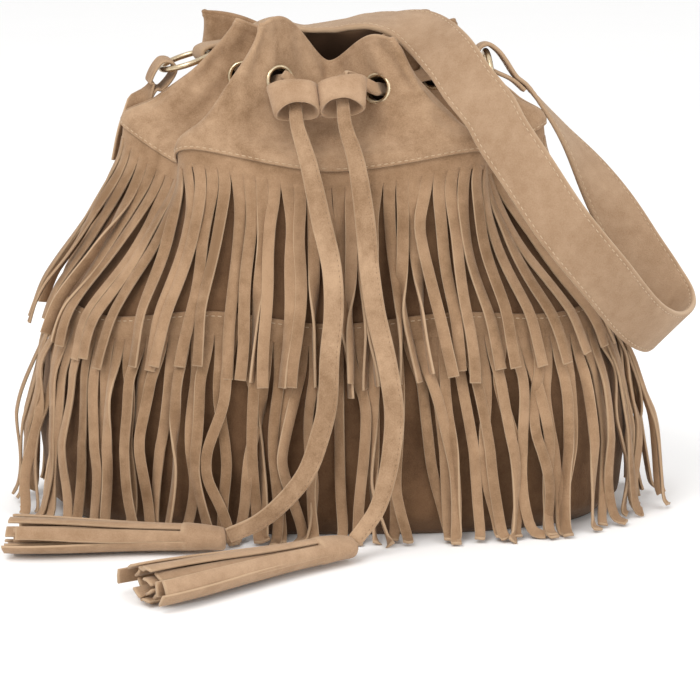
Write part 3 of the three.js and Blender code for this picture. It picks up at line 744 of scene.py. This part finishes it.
for half, span in halves.items():
    panel = bodyShell(f"body_panel_{half}", span, -bodyForm["wall"], 0.0, 0.0, bodyForm["top"])
    # the panels take the body suede that is darkened with painted shade
    finishPiece(panel, shadedBodySuede, nodes=[f"body_{half}"])


def makeBase():
    # a stiff oval plate with a rolled edge, as rings that go out below and come back above
    reach = np.array([0.02, 0.4, 0.8, 0.965, 0.99, 1.0, 0.99, 0.965, 0.8, 0.4, 0.02])
    level = np.array([0.25, 0.25, 0.2, 0.1, 0.5, 1.5, 2.5, 3.1, 3.1, 3.1, 3.1])
    turn = np.arange(160) / 160 * 2 * np.pi
    edge = superellipse(*bodyForm["base"], turn)[None]
    flat = edge * reach[:, None, None]
    points = np.concatenate([flat, np.broadcast_to(level[:, None, None], flat.shape[:2] + (1,))], -1)
    base = makeMesh("base_plate", points, tubes(points[None]))
    return finishPiece(base, shadedBodySuede, nodes=["base_panel"])


def makeLining():
    outside = -(bodyForm["wall"] + bodyForm["liningGap"] + 0.4)
    u = np.linspace(0, 1, 201)[None]
    h = np.concatenate([np.linspace(0.024, 0.06, 6), np.linspace(0.08, 0.98, 42)])[:, None]
    slack = 4.5 * smoothstep(h, 0.5, 0.75)
    outer = offset(bodyPoint, u, h, outside - slack + 0 * u)[:, :-1]
    inner = offset(bodyPoint, u, h, outside - slack - bodyForm["liningWall"] + 0 * u)[:, :-1]
    floor = np.array([0.02, 0.4, 0.8, 0.94])[:, None, None]
    level = lambda ring, z: np.full((len(floor), len(ring), 1), z)
    flat = lambda ring, z: np.concatenate([ring[None, :, :2] * floor, level(ring, z)], -1)
    rings = np.concatenate([flat(outer[0], 3.6), outer, inner[::-1], flat(inner[0], 5.0)[::-1]])
    cup = makeMesh("lining_cup", rings, tubes(rings[None]))
    finishPiece(cup, lining, nodes=["lining"])


makeBase()
makeLining()
print("body, base and lining made")


# yoke: the gathered neck, folded and stitched over the fringe's band

yoke = {
    "wall": 1.7, "hemWall": 2.7, "hemFoot": 0.925, "flap": -0.055, "flapRise": 2.5, "columns": 560,
    "holeRadius": 6.9, "holeReach": 7, "sideGap": 0.0012, "seamStitch": -0.027, "hemStitch": 0.963,
}


def yokeMiddle(u, s):
    # the neck above the seam and the body's top below it, with soft creases that run down from the gathers
    u, s = np.broadcast_arrays(np.asarray(u, float), np.asarray(s, float))
    low = bodyPoint(u, 1 + np.minimum(s, 0) * 0.3)
    high = neckPoint(u, np.maximum(s, 0))
    return np.where((s < 0)[..., None], low, high)


def yokeCrease(u, s):
    # three sets of slanted creases, sines round the neck that fade out at the seam and at the rim
    fade = smoothstep(s, 0.0, 0.25) * (1 - smoothstep(s, 0.85, 1.0))
    return fade * (
        0.9 * np.sin(2 * np.pi * (18 * u + 0.5 * s) + 0.9) * np.sin(2 * np.pi * (3 * u) + 1.0)
        + 0.55 * np.sin(2 * np.pi * (31 * u - 0.9 * s) + 2.2)
        + 0.35 * np.sin(2 * np.pi * (47 * u + 1.4 * s) + 5.0)
    )


def pressedAt(s, level, reach):
    # a narrow bell round the level of a row of stitches
    return 0.3 * np.exp(-(((s - level) / reach) ** 2))


def yokeOffsets(u, s):
    # outer and inner faces: lifted over the band at the bottom, thicker at the hem, pressed in at stitches
    lift = yoke["flapRise"] * (1 - smoothstep(s, 0.02, 0.2))
    hem = smoothstep(s, yoke["hemFoot"], yoke["hemFoot"] + 0.02)
    half = (yoke["wall"] + (yoke["hemWall"] - yoke["wall"]) * hem) / 2
    ends = np.minimum((1 - s) * 65, (s - yoke["flap"]) * 62) / half
    half = half * np.sqrt(np.clip(1 - (1 - np.clip(ends, 0, 1)) ** 2, 0.01, 1))
    press = pressedAt(s, yoke["seamStitch"], 0.016) + pressedAt(s, yoke["hemStitch"], 0.012)
    middle = lift + yokeCrease(u, s)
    return middle + half - press, middle - half


def yokeRows():
    # levels from the flap's edge to the rim, close together where the edges are rounded
    near = np.array([0, 0.004, 0.01, 0.018])
    between = np.linspace(yoke["flap"] + 0.03, 0.975, 58)
    return np.concatenate([yoke["flap"] + near, between, (1.0 - near)[::-1]])[:, None]


def outsideHoles(cells):
    # the cells whose centres lie clear of every eyelet's cylinder
    keep = np.ones(cells.shape[:2], bool)
    for place, out in zip(eyeletPlace, eyeletOut):
        away = cells - place
        deep = (away * out).sum(-1, keepdims=True)
        aside = np.linalg.norm(away - out * deep, axis=-1)
        keep &= ~((aside < yoke["holeRadius"]) & (np.abs(deep[..., 0]) < yoke["holeReach"]))
    return keep


def makeYoke(half, low, high):
    u = np.linspace(low + yoke["sideGap"], high - yoke["sideGap"], yoke["columns"] // 2)[None]
    s = yokeRows()
    outer, inner = yokeOffsets(u, s)
    grids = [offset(yokeMiddle, u, s, out) for out in (outer, inner)]
    points, faces = shell(*grids, outsideHoles((grids[0][:-1, :-1] + grids[0][1:, 1:]) / 2))
    # painted shade: the inner face is darkened from just below the rim downwards, standing in for the
    # shade inside the neck
    paintedShade = np.broadcast_to(smoothstep(1 - s, 0.02, 0.12), outer.shape).ravel()
    inside = np.concatenate([np.zeros(outer.size), paintedShade])
    neck = makeMesh(f"yoke_panel_{half}", points, faces, {"inside": inside})
    finishPiece(neck, neckSuede, nodes=[f"yoke_{half}"])


def yokeRow(level):
    # a line round the neck's outer face for a row of stitches, sunk by 0.05, and its normals
    u = np.linspace(0, 1, 1400)
    s = np.full(u.shape, level)
    out = yokeOffsets(u, s)[0]
    return offset(yokeMiddle, u, s, out - 0.05), normalAt(yokeMiddle, u, s)


for half, (low, high) in halves.items():
    makeYoke(half, low, high)
stitches("yoke_seam_stitches", [yokeRow(yoke["seamStitch"])])
stitches("yoke_rim_stitches", [yokeRow(yoke["hemStitch"])], seam=rimStitch)
print("yoke made")


# fringes

fringes = {
    "upper": {
        "strips": 88, "seam": 0.995, "bandFoot": 0.94, "length": 100,
        "inner": 0.3, "wall": 1.4, "fill": 0.93,
        "rings": 34, "lift": 3.6, "layer": 1.7, "drift": 4.0, "gather": 4.2, "bend": 5.0, "wave": 0.8,
        "stray": (2, 5), "seed": 3, "flat": (0.285, 0.12), "rest": "yoke",
    },
    "lower": {
        "strips": 126, "seam": 0.585, "bandFoot": 0.525, "length": 106,
        "inner": 0.3, "wall": 1.4, "fill": 0.95,
        "rings": 40, "lift": 3.2, "layer": 2.6, "drift": 6.0, "gather": 4.6, "bend": 9.0, "wave": 1.3,
        "stray": (4, 11), "seed": 8, "flat": (0.36, 0.12), "rest": "body",
    },
}
floorLevel = 0.9
stripGirth = 690  # the length round the body that turns a strip's drift into a share of the girth
lowestHang = 0.235  # below this share of the height the strips hang clear of the body


def wander(rng, count, reach):
    # random numbers round the bag, each averaged with its neighbours, scaled back to a deviation of 1
    values = rng.normal(0, 1, count)
    for _ in range(reach):
        values = (np.roll(values, 1) + 2 * values + np.roll(values, -1)) / 4
    return values / values.std()


def clumps(rng, count):
    # neighbours gather in bunches of one to four: each strip's way to its bunch's middle, in pitches
    sizes = rng.choice([1, 2, 3, 4], count, p=[0.25, 0.35, 0.28, 0.12])
    ends = np.cumsum(sizes)
    bunch = np.searchsorted(ends, np.arange(count), side="right")
    middle = ends[bunch] - (sizes[bunch] + 1) / 2
    return (middle - np.arange(count)) * rng.uniform(0.2, 0.75, count)[bunch]


def surfaceFall(u, start, fall):
    # the height share at each length down the body's surface, from a table of its length at each share
    shares = np.linspace(start, 0.2, 70)
    line = bodyPoint(u, shares[None])
    lengths = np.cumsum(np.linalg.norm(np.diff(line, axis=1), axis=-1), axis=1)
    lengths = np.concatenate([np.zeros((len(u), 1)), lengths], 1)
    inside = np.array([np.interp(f, row, shares) for f, row in zip(fall, lengths)])
    beyond = np.maximum(fall - lengths[:, -1:], 0)
    return inside - beyond / line[:, -1:, 2] * shares[-1]


# the share of the girth that a strip hangs at once it is clear of the folds, for its share at the band
dropTable = (
    np.array([0, 1, 3, 5, 6, 7, 9, 11, 12]) / 12,
    np.array([0, 0.107, 0.25, 0.393, 0.5, 0.607, 0.75, 0.893, 1]),
)


def evenStarts(count, h, within=0.5):
    # places round the bag at even steps of the length of the surface's outline at h
    u = np.linspace(0, 1, 1441)
    lengths = np.cumsum(np.linalg.norm(np.diff(bodyPoint(u, h), axis=0), axis=1))
    lengths = np.concatenate([[0], lengths])
    return np.interp((np.arange(count) + within) / count * lengths[-1], lengths, u)


def hangingStrips(tier):
    # each strip starts at the band, follows the body's surface down by its length, gathers in a bunch,
    # drifts and bends to one side, lifts off by its layer and bends outwards where it meets the floor
    rng = np.random.default_rng(tier["seed"])
    count = tier["strips"]
    t = np.append(np.linspace(0, 0.992, tier["rings"] - 1), 1)[None]
    start = tier["bandFoot"] + 0.012
    u0 = evenStarts(count, start)[:, None]
    u1 = np.interp(u0, *dropTable) if tier["rest"] == "yoke" else u0
    column = lambda values: np.asarray(values)[:, None]
    edges = evenStarts(count, start, 0), evenStarts(count, start, 1)
    pitch = column(np.linalg.norm(bodyPoint(edges[1], start) - bodyPoint(edges[0], start), axis=-1))
    length = tier["length"] * (1 + column(rng.normal(0, 0.016, count)))
    gather = column(clumps(rng, count)) * tier["gather"] * smoothstep(t, 0.04, 0.85)
    together = column(wander(rng, count, 2)) * tier["drift"] * 0.75 * t ** 1.3
    bend, knee = column(rng.normal(0, tier["bend"], count)), column(rng.uniform(0.25, 0.8, count))
    kinked = np.sqrt((t - knee) ** 2 + 0.002) - np.sqrt(knee ** 2 + 0.002) * (1 - t) - t * (1 - knee)
    wave = sway(rng, count, tier["wave"], 6, 13, t)
    drift = gather + together + (bend * kinked + wave) * smoothstep(t, 0, 0.25)
    foldZ = spline(form["seam"], u0, closed=True)[..., 2]
    fall = surfaceFall(u0, start, length * t) * foldZ
    soft = 3.0
    height = floorLevel + soft * np.logaddexp(0, (fall - floorLevel) / soft)
    along = soft * np.logaddexp(0, -(fall - floorLevel) / soft)
    u = u0 + (u1 - u0) * smoothstep(t, 0.0, 0.8) + drift / stripGirth
    low = np.maximum(height / foldZ, lowestHang)
    place = bodyPoint(u, low)
    place[..., 2] = height
    out = normalAt(bodyPoint, u, low)
    out[..., 2] *= smoothstep(t, 0.3, 0)
    out = unit(out)
    middle = tier["inner"] + tier["wall"] / 2 - 0.07
    layer = column(np.arange(count) % 2 * tier["layer"] + rng.uniform(0, 1.5, count))
    swing = column(np.abs(rng.normal(0, 1.8, count))) * t ** 2
    ripple = sway(rng, count, tier["wave"], 5, 12, t)
    nearSide = np.abs(np.mod(u0 * 2, 1) - 0.5) < 0.06
    stray = column(np.where(rng.random(count) < 0.45, rng.uniform(*tier["stray"], count), 0))
    stray = stray * nearSide * smoothstep(t, 0.1, 0.7)
    lift = middle + tier["lift"] * t + (layer + ripple) * smoothstep(t, 0.05, 0.3) + swing + stray
    turned = column(rng.normal(0, 0.4, count))
    beside = unit(np.cross(out, (0, 0, 1.0)))
    place = place + out * (lift + along * np.cos(turned))[..., None]
    place = place + beside * (along * np.sin(turned))[..., None]
    place[..., 2] += column(rng.uniform(0, 1.4, count)) * smoothstep(along, 0.5, 5)
    twist = column(rng.normal(0, 0.3, count)) * np.sin(t * column(rng.uniform(2, 7, count)))
    twist = twist * smoothstep(t, 0.05, 0.3)
    turning = rng.random(count) < 0.28
    turns = column(np.where(turning, rng.choice([-1, 1], count) * rng.uniform(0.7, 2.2, count), 0))
    firstTurn = column(rng.uniform(0.12, 0.55, count))
    twist = twist + turns * smoothstep(t, firstTurn, firstTurn + 0.4)
    side = -beside * np.cos(twist)[..., None] + out * np.sin(twist)[..., None]
    cutStart = column(rng.uniform(0.0, 0.05, count))
    uncut = 1.02  # above its cuts a strip overlaps its neighbours a little
    narrowed = uncut - (uncut - tier["fill"]) * smoothstep(t, cutStart, cutStart + 0.02)
    wide = pitch * narrowed * (1 - 0.05 * t)
    cup = column(rng.normal(0.1, 0.35, count)) * smoothstep(t, 0.03, 0.2)
    tone = column(rng.uniform(-1, 1, count)) * smoothstep(t, 0.0, 0.25)
    points, attributes = strips(place, side, wide, np.full(wide.shape, tier["wall"]), cup, tone)
    attributes["edge"] = attributes["edge"] * smoothstep(t, 0.0, 0.1)[..., None]
    points[..., 2] = np.maximum(points[..., 2], 0.25)
    return u0[:, 0], points, attributes


def fringeBand(tier, low, high):
    # the uncut edge, a thin wall on the body's surface
    u = np.linspace(low + 0.0006, high - 0.0006, 200)[None]
    foot = tier["bandFoot"]
    between = np.linspace(foot + 0.006, tier["seam"] - 0.003, 10)
    h = np.concatenate([[foot, foot + 0.002], between, [tier["seam"]]])[:, None]
    ends = np.clip((tier["seam"] - h) * form["seamHeight"] / (tier["wall"] / 2), 0, 1)
    half = tier["wall"] / 2 * np.sqrt(np.clip(1 - (1 - ends) ** 2, 0.02, 1))
    middle = tier["inner"] + tier["wall"] / 2
    grids = [offset(bodyPoint, u, h, middle + sign * half + 0 * u) for sign in (1, -1)]
    return shell(*grids, np.ones((h.size - 1, u.size - 1), bool))


def joinParts(parts):
    # one list of points and faces from several, with each attribute, 0 where a part has none
    points = np.concatenate([p.reshape(-1, 3) for p, _, _ in parts])
    starts = np.cumsum([0] + [p.size // 3 for p, _, _ in parts[:-1]])
    faces = [f + start for start, (_, fs, _) in zip(starts, parts) for f in fs]
    keys = sorted({key for _, _, a in parts for key in a})
    values = lambda p, a, key: np.ravel(a[key]) if key in a else np.zeros(p.size // 3)
    attributes = {key: np.concatenate([values(p, a, key) for p, _, a in parts]) for key in keys}
    return points, faces, attributes


def makeFringe(name, tier):
    places, points, attributes = hangingStrips(tier)
    for half, (low, high) in halves.items():
        wrapped = np.where(places > low + 1, places - 1, places)
        mine = (wrapped > low) & (wrapped < high)
        own = {key: value[mine] for key, value in attributes.items()}
        wall, faces = fringeBand(tier, low, high)
        joined = joinParts([(wall, faces, {}), (points[mine], tubes(points[mine]), own)])
        piece = makeMesh(f"fringe_{name}_{half}_strips", *joined)
        finishPiece(piece, stripSuede, nodes=[f"fringe_{name}_{half}"])


for name, tier in fringes.items():
    makeFringe(name, tier)
u = np.linspace(0, 1, 1400)
h = np.full(u.shape, fringes["lower"]["seam"] - 0.012)
onBand = np.full(u.shape, 1.68)
stitches("lower_seam_stitches", [(offset(bodyPoint, u, h, onBand), normalAt(bodyPoint, u, h))])
print("fringes made")


# eyelets

def lathe(profile, place, axis, across, around=48):
    # a closed profile of (radius, height) turned round the axis, as rings that close on themselves
    turn = np.arange(around) / around * 2 * np.pi
    x = unit(across - axis * np.dot(across, axis))
    y = np.cross(axis, x)
    spoke = x * np.cos(turn)[:, None] + y * np.sin(turn)[:, None]
    radius, height = np.asarray(profile, float).T
    points = place + spoke[:, None] * radius[:, None] + (axis * height[:, None])[None]
    index = np.arange(points.shape[0] * points.shape[1]).reshape(points.shape[:2])
    right, up = np.roll(index, -1, 0), np.roll(index, -1, 1)
    both = np.roll(right, -1, 1)
    return points.reshape(-1, 3), [np.stack([index, right, both, up], -1).reshape(-1, 4)]


def eyeletProfile():
    # the barrel, rolled outwards into a half round flange
    bend = np.linspace(0, np.pi, 10)
    middle = (eyelet["bore"] + eyelet["outer"]) / 2
    half = (eyelet["outer"] - eyelet["bore"]) / 2
    flange = np.stack([middle + half * np.cos(bend), 1.0 + 1.35 * np.sin(bend)], -1)
    under = [(eyelet["barrel"], -2.9), (eyelet["barrel"], 0.9), (eyelet["outer"] - 0.3, 0.85)]
    return np.concatenate([under, flange, [(eyelet["bore"], -2.9)]])


washerProfile = [(6.4, -2.0), (7.9, -2.0), (8.1, -1.75), (8.1, -1.3), (7.9, -1.05), (6.4, -1.05)]
for i in range(len(eyeletU)):
    for kind, profile in (("eyelet", eyeletProfile()), ("eyelet_washer", washerProfile)):
        name = f"{kind}_{i + 1:02d}"
        points, faces = lathe(profile, eyeletPlace[i], eyeletOut[i], eyeletUp[i])
        finishPiece(makeMesh(f"{name}_brass", points, faces), brass, nodes=[name])
print("eyelets made")


# slider: one strip sewn into two loops

def loopRing(sign, inset, level, turn):
    # a ring of one loop: squarer at the middle seam than outside, narrower at its lower end, its front
    # edge arched there and its upper edge dipping towards the seam
    x = unit(np.array([1.0, 0, 0]) - slide * slide[0])
    y = np.cross(slide, x)
    c, s = np.cos(turn), np.sin(turn)
    power = np.where(c * sign > 0, 2 / 2.4, 2 / 5.0)
    shapeX, shapeY = np.sign(c) * np.abs(c) ** power, np.sign(s) * np.abs(s) ** (2 / 2.3)
    outside = 1 if inset == 0 else -1
    lip = 0.45 * sliderForm["wall"] * max(0, (abs(level) - 0.93) / 0.07) * outside
    quarter = sliderForm["width"] / 4 * (1 - 0.055 * level)
    wide = (quarter + 0.35 - inset - lip) * shapeX
    deep = (sliderForm["deep"] / 2 * (1 + 0.06 * level * level) - inset - lip) * shapeY
    wrinkle = 0.4 * np.sin(3 * turn + 2 * level + sign)
    across = sign * quarter + wide
    toSeam = 1 - np.clip(np.abs(across) / (2 * quarter), 0, 1)
    arch = 3.0 * smoothstep(level, -0.2, 1.0) * np.clip(shapeY, 0, 1) * (1 - shapeX ** 2)
    down = level * sliderForm["long"] / 2 - arch + 2.2 * toSeam ** 2 * smoothstep(-level, -0.4, 1.0)
    flat = x * across[:, None] + y * (deep + wrinkle * 0.6)[:, None]
    return sliderForm["place"] + flat + slide * down[:, None]


def makeSlider():
    turn = np.arange(72) / 72 * 2 * np.pi
    levels = np.array([-1, -0.985, -0.93, -0.6, -0.2, 0.2, 0.6, 0.93, 0.985, 1])
    parts = []
    for sign in (-1, 1):
        order = [(0, v) for v in levels] + [(sliderForm["wall"], v) for v in levels[::-1]]
        rings = np.array([loopRing(sign, inset, level, turn) for inset, level in order])
        index = np.arange(rings.shape[0] * turn.size).reshape(-1, turn.size)
        loop = np.concatenate([index, index[:1]])
        after = np.roll(loop, -1, 1)
        quads = np.stack([loop[:-1], after[:-1], after[1:], loop[1:]], -1).reshape(-1, 4)
        edge = np.zeros(rings.shape[:2])
        edge[[0, 9, 10, 19]] = 1
        parts.append((rings, [quads], {"edge": edge}))
    points, faces, attributes = joinParts(parts)
    piece = makeMesh("slider_loops", points, [np.concatenate(faces)], attributes)
    return finishPiece(piece, cordSuede, body="slider", nodes=["slider"])


makeSlider()
print("slider made")


# rings, tabs and strap

ringForm = {
    "middle": 13.5, "wire": 1.5,
    "left": {"place": (-75, 14, 228), "toStrap": (0.88, 0.36, 0.31), "side": (-0.38, 0.925, 0)},
    "right": {"place": (80, 24, 218.5), "toStrap": (-0.1, 0, 1), "side": (-0.1, 1, 0)},
}


def ringFrame(side):
    given = ringForm[side]
    place, toStrap, across = (np.array(given[k], float) for k in ("place", "toStrap", "side"))
    toStrap = unit(toStrap)
    across = unit(across - toStrap * np.dot(across, toStrap))
    return {
        "place": place, "toStrap": toStrap, "side": across, "axis": np.cross(toStrap, across),
        "strapWire": place + toStrap * ringForm["middle"], "tabWire": place - toStrap * ringForm["middle"],
    }


ringFrames = {side: ringFrame(side) for side in ("left", "right")}
for side, at in ringFrames.items():
    turn = np.arange(16) / 16 * 2 * np.pi
    wire = ringForm["wire"]
    circle = np.stack([ringForm["middle"] + wire * np.cos(turn), wire * np.sin(turn)], -1)
    points, faces = lathe(circle, at["place"], at["axis"], at["toStrap"], around=72)
    ring = makeMesh(f"ring_{side}_brass", points, faces)
    finishPiece(ring, brass, body=f"ring_{side}", nodes=[f"strap_ring_{side}"])


def foldedEnd(centre, toward, side, radius, length, width, wall, gap=0.4):
    # stations of a band that comes in along toward, turns round centre and lies back under itself
    across = unit(side - toward * np.dot(side, toward))
    face = np.cross(toward, across)
    if face[2] < 0:
        face = -face
    beside, turn = (wall + gap) / 2, radius + wall / 2
    bend = [(turn * np.cos(a), turn * np.sin(a)) for a in np.radians([70, 35, 0, -35, -70])]
    over = [(-length, beside), (-length * 0.7, beside), (-turn * 2, turn * 0.75), (-turn * 0.8, turn)]
    back = [(a, -b) for a, b in over[::-1]]
    return [[centre + toward * a + face * b, across, width, wall] for a, b in over + bend + back]


def makeTabs():
    below, above = (offset(bodyPoint, np.array(0.722), np.array(h), 5.0) for h in (0.88, 0.98))
    beside = unit(bodyPoint(0.726, 0.95) - bodyPoint(0.718, 0.95))
    feet = {
        "left": (below, above, beside, 16),
        "right": (np.array([98, 31, 172.0]), np.array([93, 27, 190.0]), np.array([0.1, 1, 0]), 11),
    }
    for name, at in ringFrames.items():
        low, high, across, width = feet[name]
        centre = at["tabWire"] + at["toStrap"] * 1.4
        end = foldedEnd(centre, unit(centre - high), at["side"], 4, 16, 11, 1.6)
        stations = [[low, across, width, 1.6], [high, across, width, 1.6], *end[1:]]
        tab = band(f"tab_{name}_suede", carry(stations, 120))
        finishPiece(tab, neckSuede, nodes=[f"ring_tab_{name}"])


strap = {
    "width": 27, "wall": 3, "end": 15, "endWall": 2.2, "steps": 520, "stitchInset": 2.1,
    "route": [
        ((-30, 15, 247), (-0.38, 0.92, 0)), ((-14, 9, 245), (-0.25, 0.97, 0)),
        ((2, 2, 246.5), (-0.05, 1, 0.05)), ((14, -5, 249), (0.05, 1, 0.1)),
        ((26, -12, 250), (0.2, 0.95, 0.2)), ((42, -23, 247.5), (0.58, 0.65, 0.48)),
        ((56, -47, 236.5), (0.84, -0.04, 0.54)), ((65.5, -60, 223.5), (0.86, -0.1, 0.5)),
        ((75.5, -68.5, 211.5), (0.85, -0.1, 0.52)), ((82, -76, 200), (0.84, -0.1, 0.54)),
        ((93, -84, 184), (0.81, -0.1, 0.58)), ((110, -90, 159), (0.78, -0.1, 0.62)),
        ((131, -83, 133), (0.74, -0.1, 0.67)), ((150, -63, 109), (0.72, -0.1, 0.69)),
        ((164, -43, 98), (0.71, 0, 0.7)), ((173, -22, 98), (0.7, 0, 0.71)),
        ((174, -6, 105), (0.7, 0, 0.7)), ((167, 3, 117), (0.7, 0.1, 0.68)),
        ((157, 10, 132), (0.68, 0.25, 0.65)), ((145, 17, 152), (0.6, 0.5, 0.55)),
        ((133, 23, 171), (0.45, 0.75, 0.4)), ((120, 25, 189), (0.2, 0.95, 0.2)),
        ((109, 25, 203), (0.05, 1, 0.05)),
    ],
}


def strapStations():
    left, right = ringFrames["left"], ringFrames["right"]
    size = (strap["end"], strap["endWall"])
    centre = left["strapWire"] - left["toStrap"] * 2.9
    leftEnd = foldedEnd(centre, -left["toStrap"], left["side"], 2.2, 19, *size)
    centre = right["strapWire"] - right["toStrap"] * 1.5
    rightEnd = foldedEnd(centre, unit(centre - (99, 24.5, 213)), right["side"], 3.9, 27, *size)
    middle = []
    for i, (place, side) in enumerate(strap["route"]):
        share = smoothstep(min(i, len(strap["route"]) - 1 - i) / 2, -0.5, 1.5)
        wide = strap["end"] + (strap["width"] - strap["end"]) * share
        middle.append([place, side, wide, strap["endWall"] + (strap["wall"] - strap["endWall"]) * share])
    return leftEnd[::-1] + middle + rightEnd


def makeStrap():
    stations = strapStations()
    piece = band("strap_suede_band", carry(stations, strap["steps"]), groove=0.14)
    finishPiece(piece, strapSuede, nodes=["strap"])
    place, side, face, wide, thick = carry(stations, 1500)
    inset = (wide / 2 - strap["stitchInset"])[:, None]
    level = (thick / 2 - 0.1)[:, None]
    spans = slice(330, 1180)  # the stitches stop short of both folded ends
    rows = [
        ((place + side * inset * a + face * level * b)[spans], (face * b)[spans])
        for a in (-1, 1) for b in (-1, 1)
    ]
    stitches("strap_stitches", rows)
    return piece


makeTabs()
makeStrap()
print("rings, tabs and strap made")


# floor and light

lights = {
    "key": {"place": (-0.9, -1.6, 2.0), "size": 1.3, "power": 34},
    "fill": {"place": (1.5, -1.4, 1.1), "size": 1.6, "power": 10},
}


def makeStage():
    points = np.array([(-4, -4, 0), (4, -4, 0), (4, 4, 0), (-4, 4, 0)], float) / metre
    mesh = bpy.data.meshes.new("floor")
    mesh.from_pydata([tuple(p * metre) for p in points], [], [(0, 1, 2, 3)])
    mesh.materials.append(floorFinish())
    floor = bpy.data.objects.new("floor", mesh)
    bpy.context.scene.collection.objects.link(floor)
    world = bpy.data.worlds.new("studio")
    world.use_nodes = True
    world.node_tree.nodes["Background"].inputs["Color"].default_value = (1, 1, 1, 1)
    world.node_tree.nodes["Background"].inputs["Strength"].default_value = 1.0
    bpy.context.scene.world = world
    for name, light in lights.items():
        data = bpy.data.lights.new(name, "AREA")
        data.size, data.energy = light["size"], light["power"]
        lamp = bpy.data.objects.new(name, data)
        lamp.location = light["place"]
        lamp.rotation_euler = (Vector((0, 0, 0.1)) - lamp.location).to_track_quat("-Z", "Y").to_euler()
        bpy.context.scene.collection.objects.link(lamp)
    bpy.context.scene.view_settings.view_transform = "Standard"


makeStage()
print("floor and light placed")
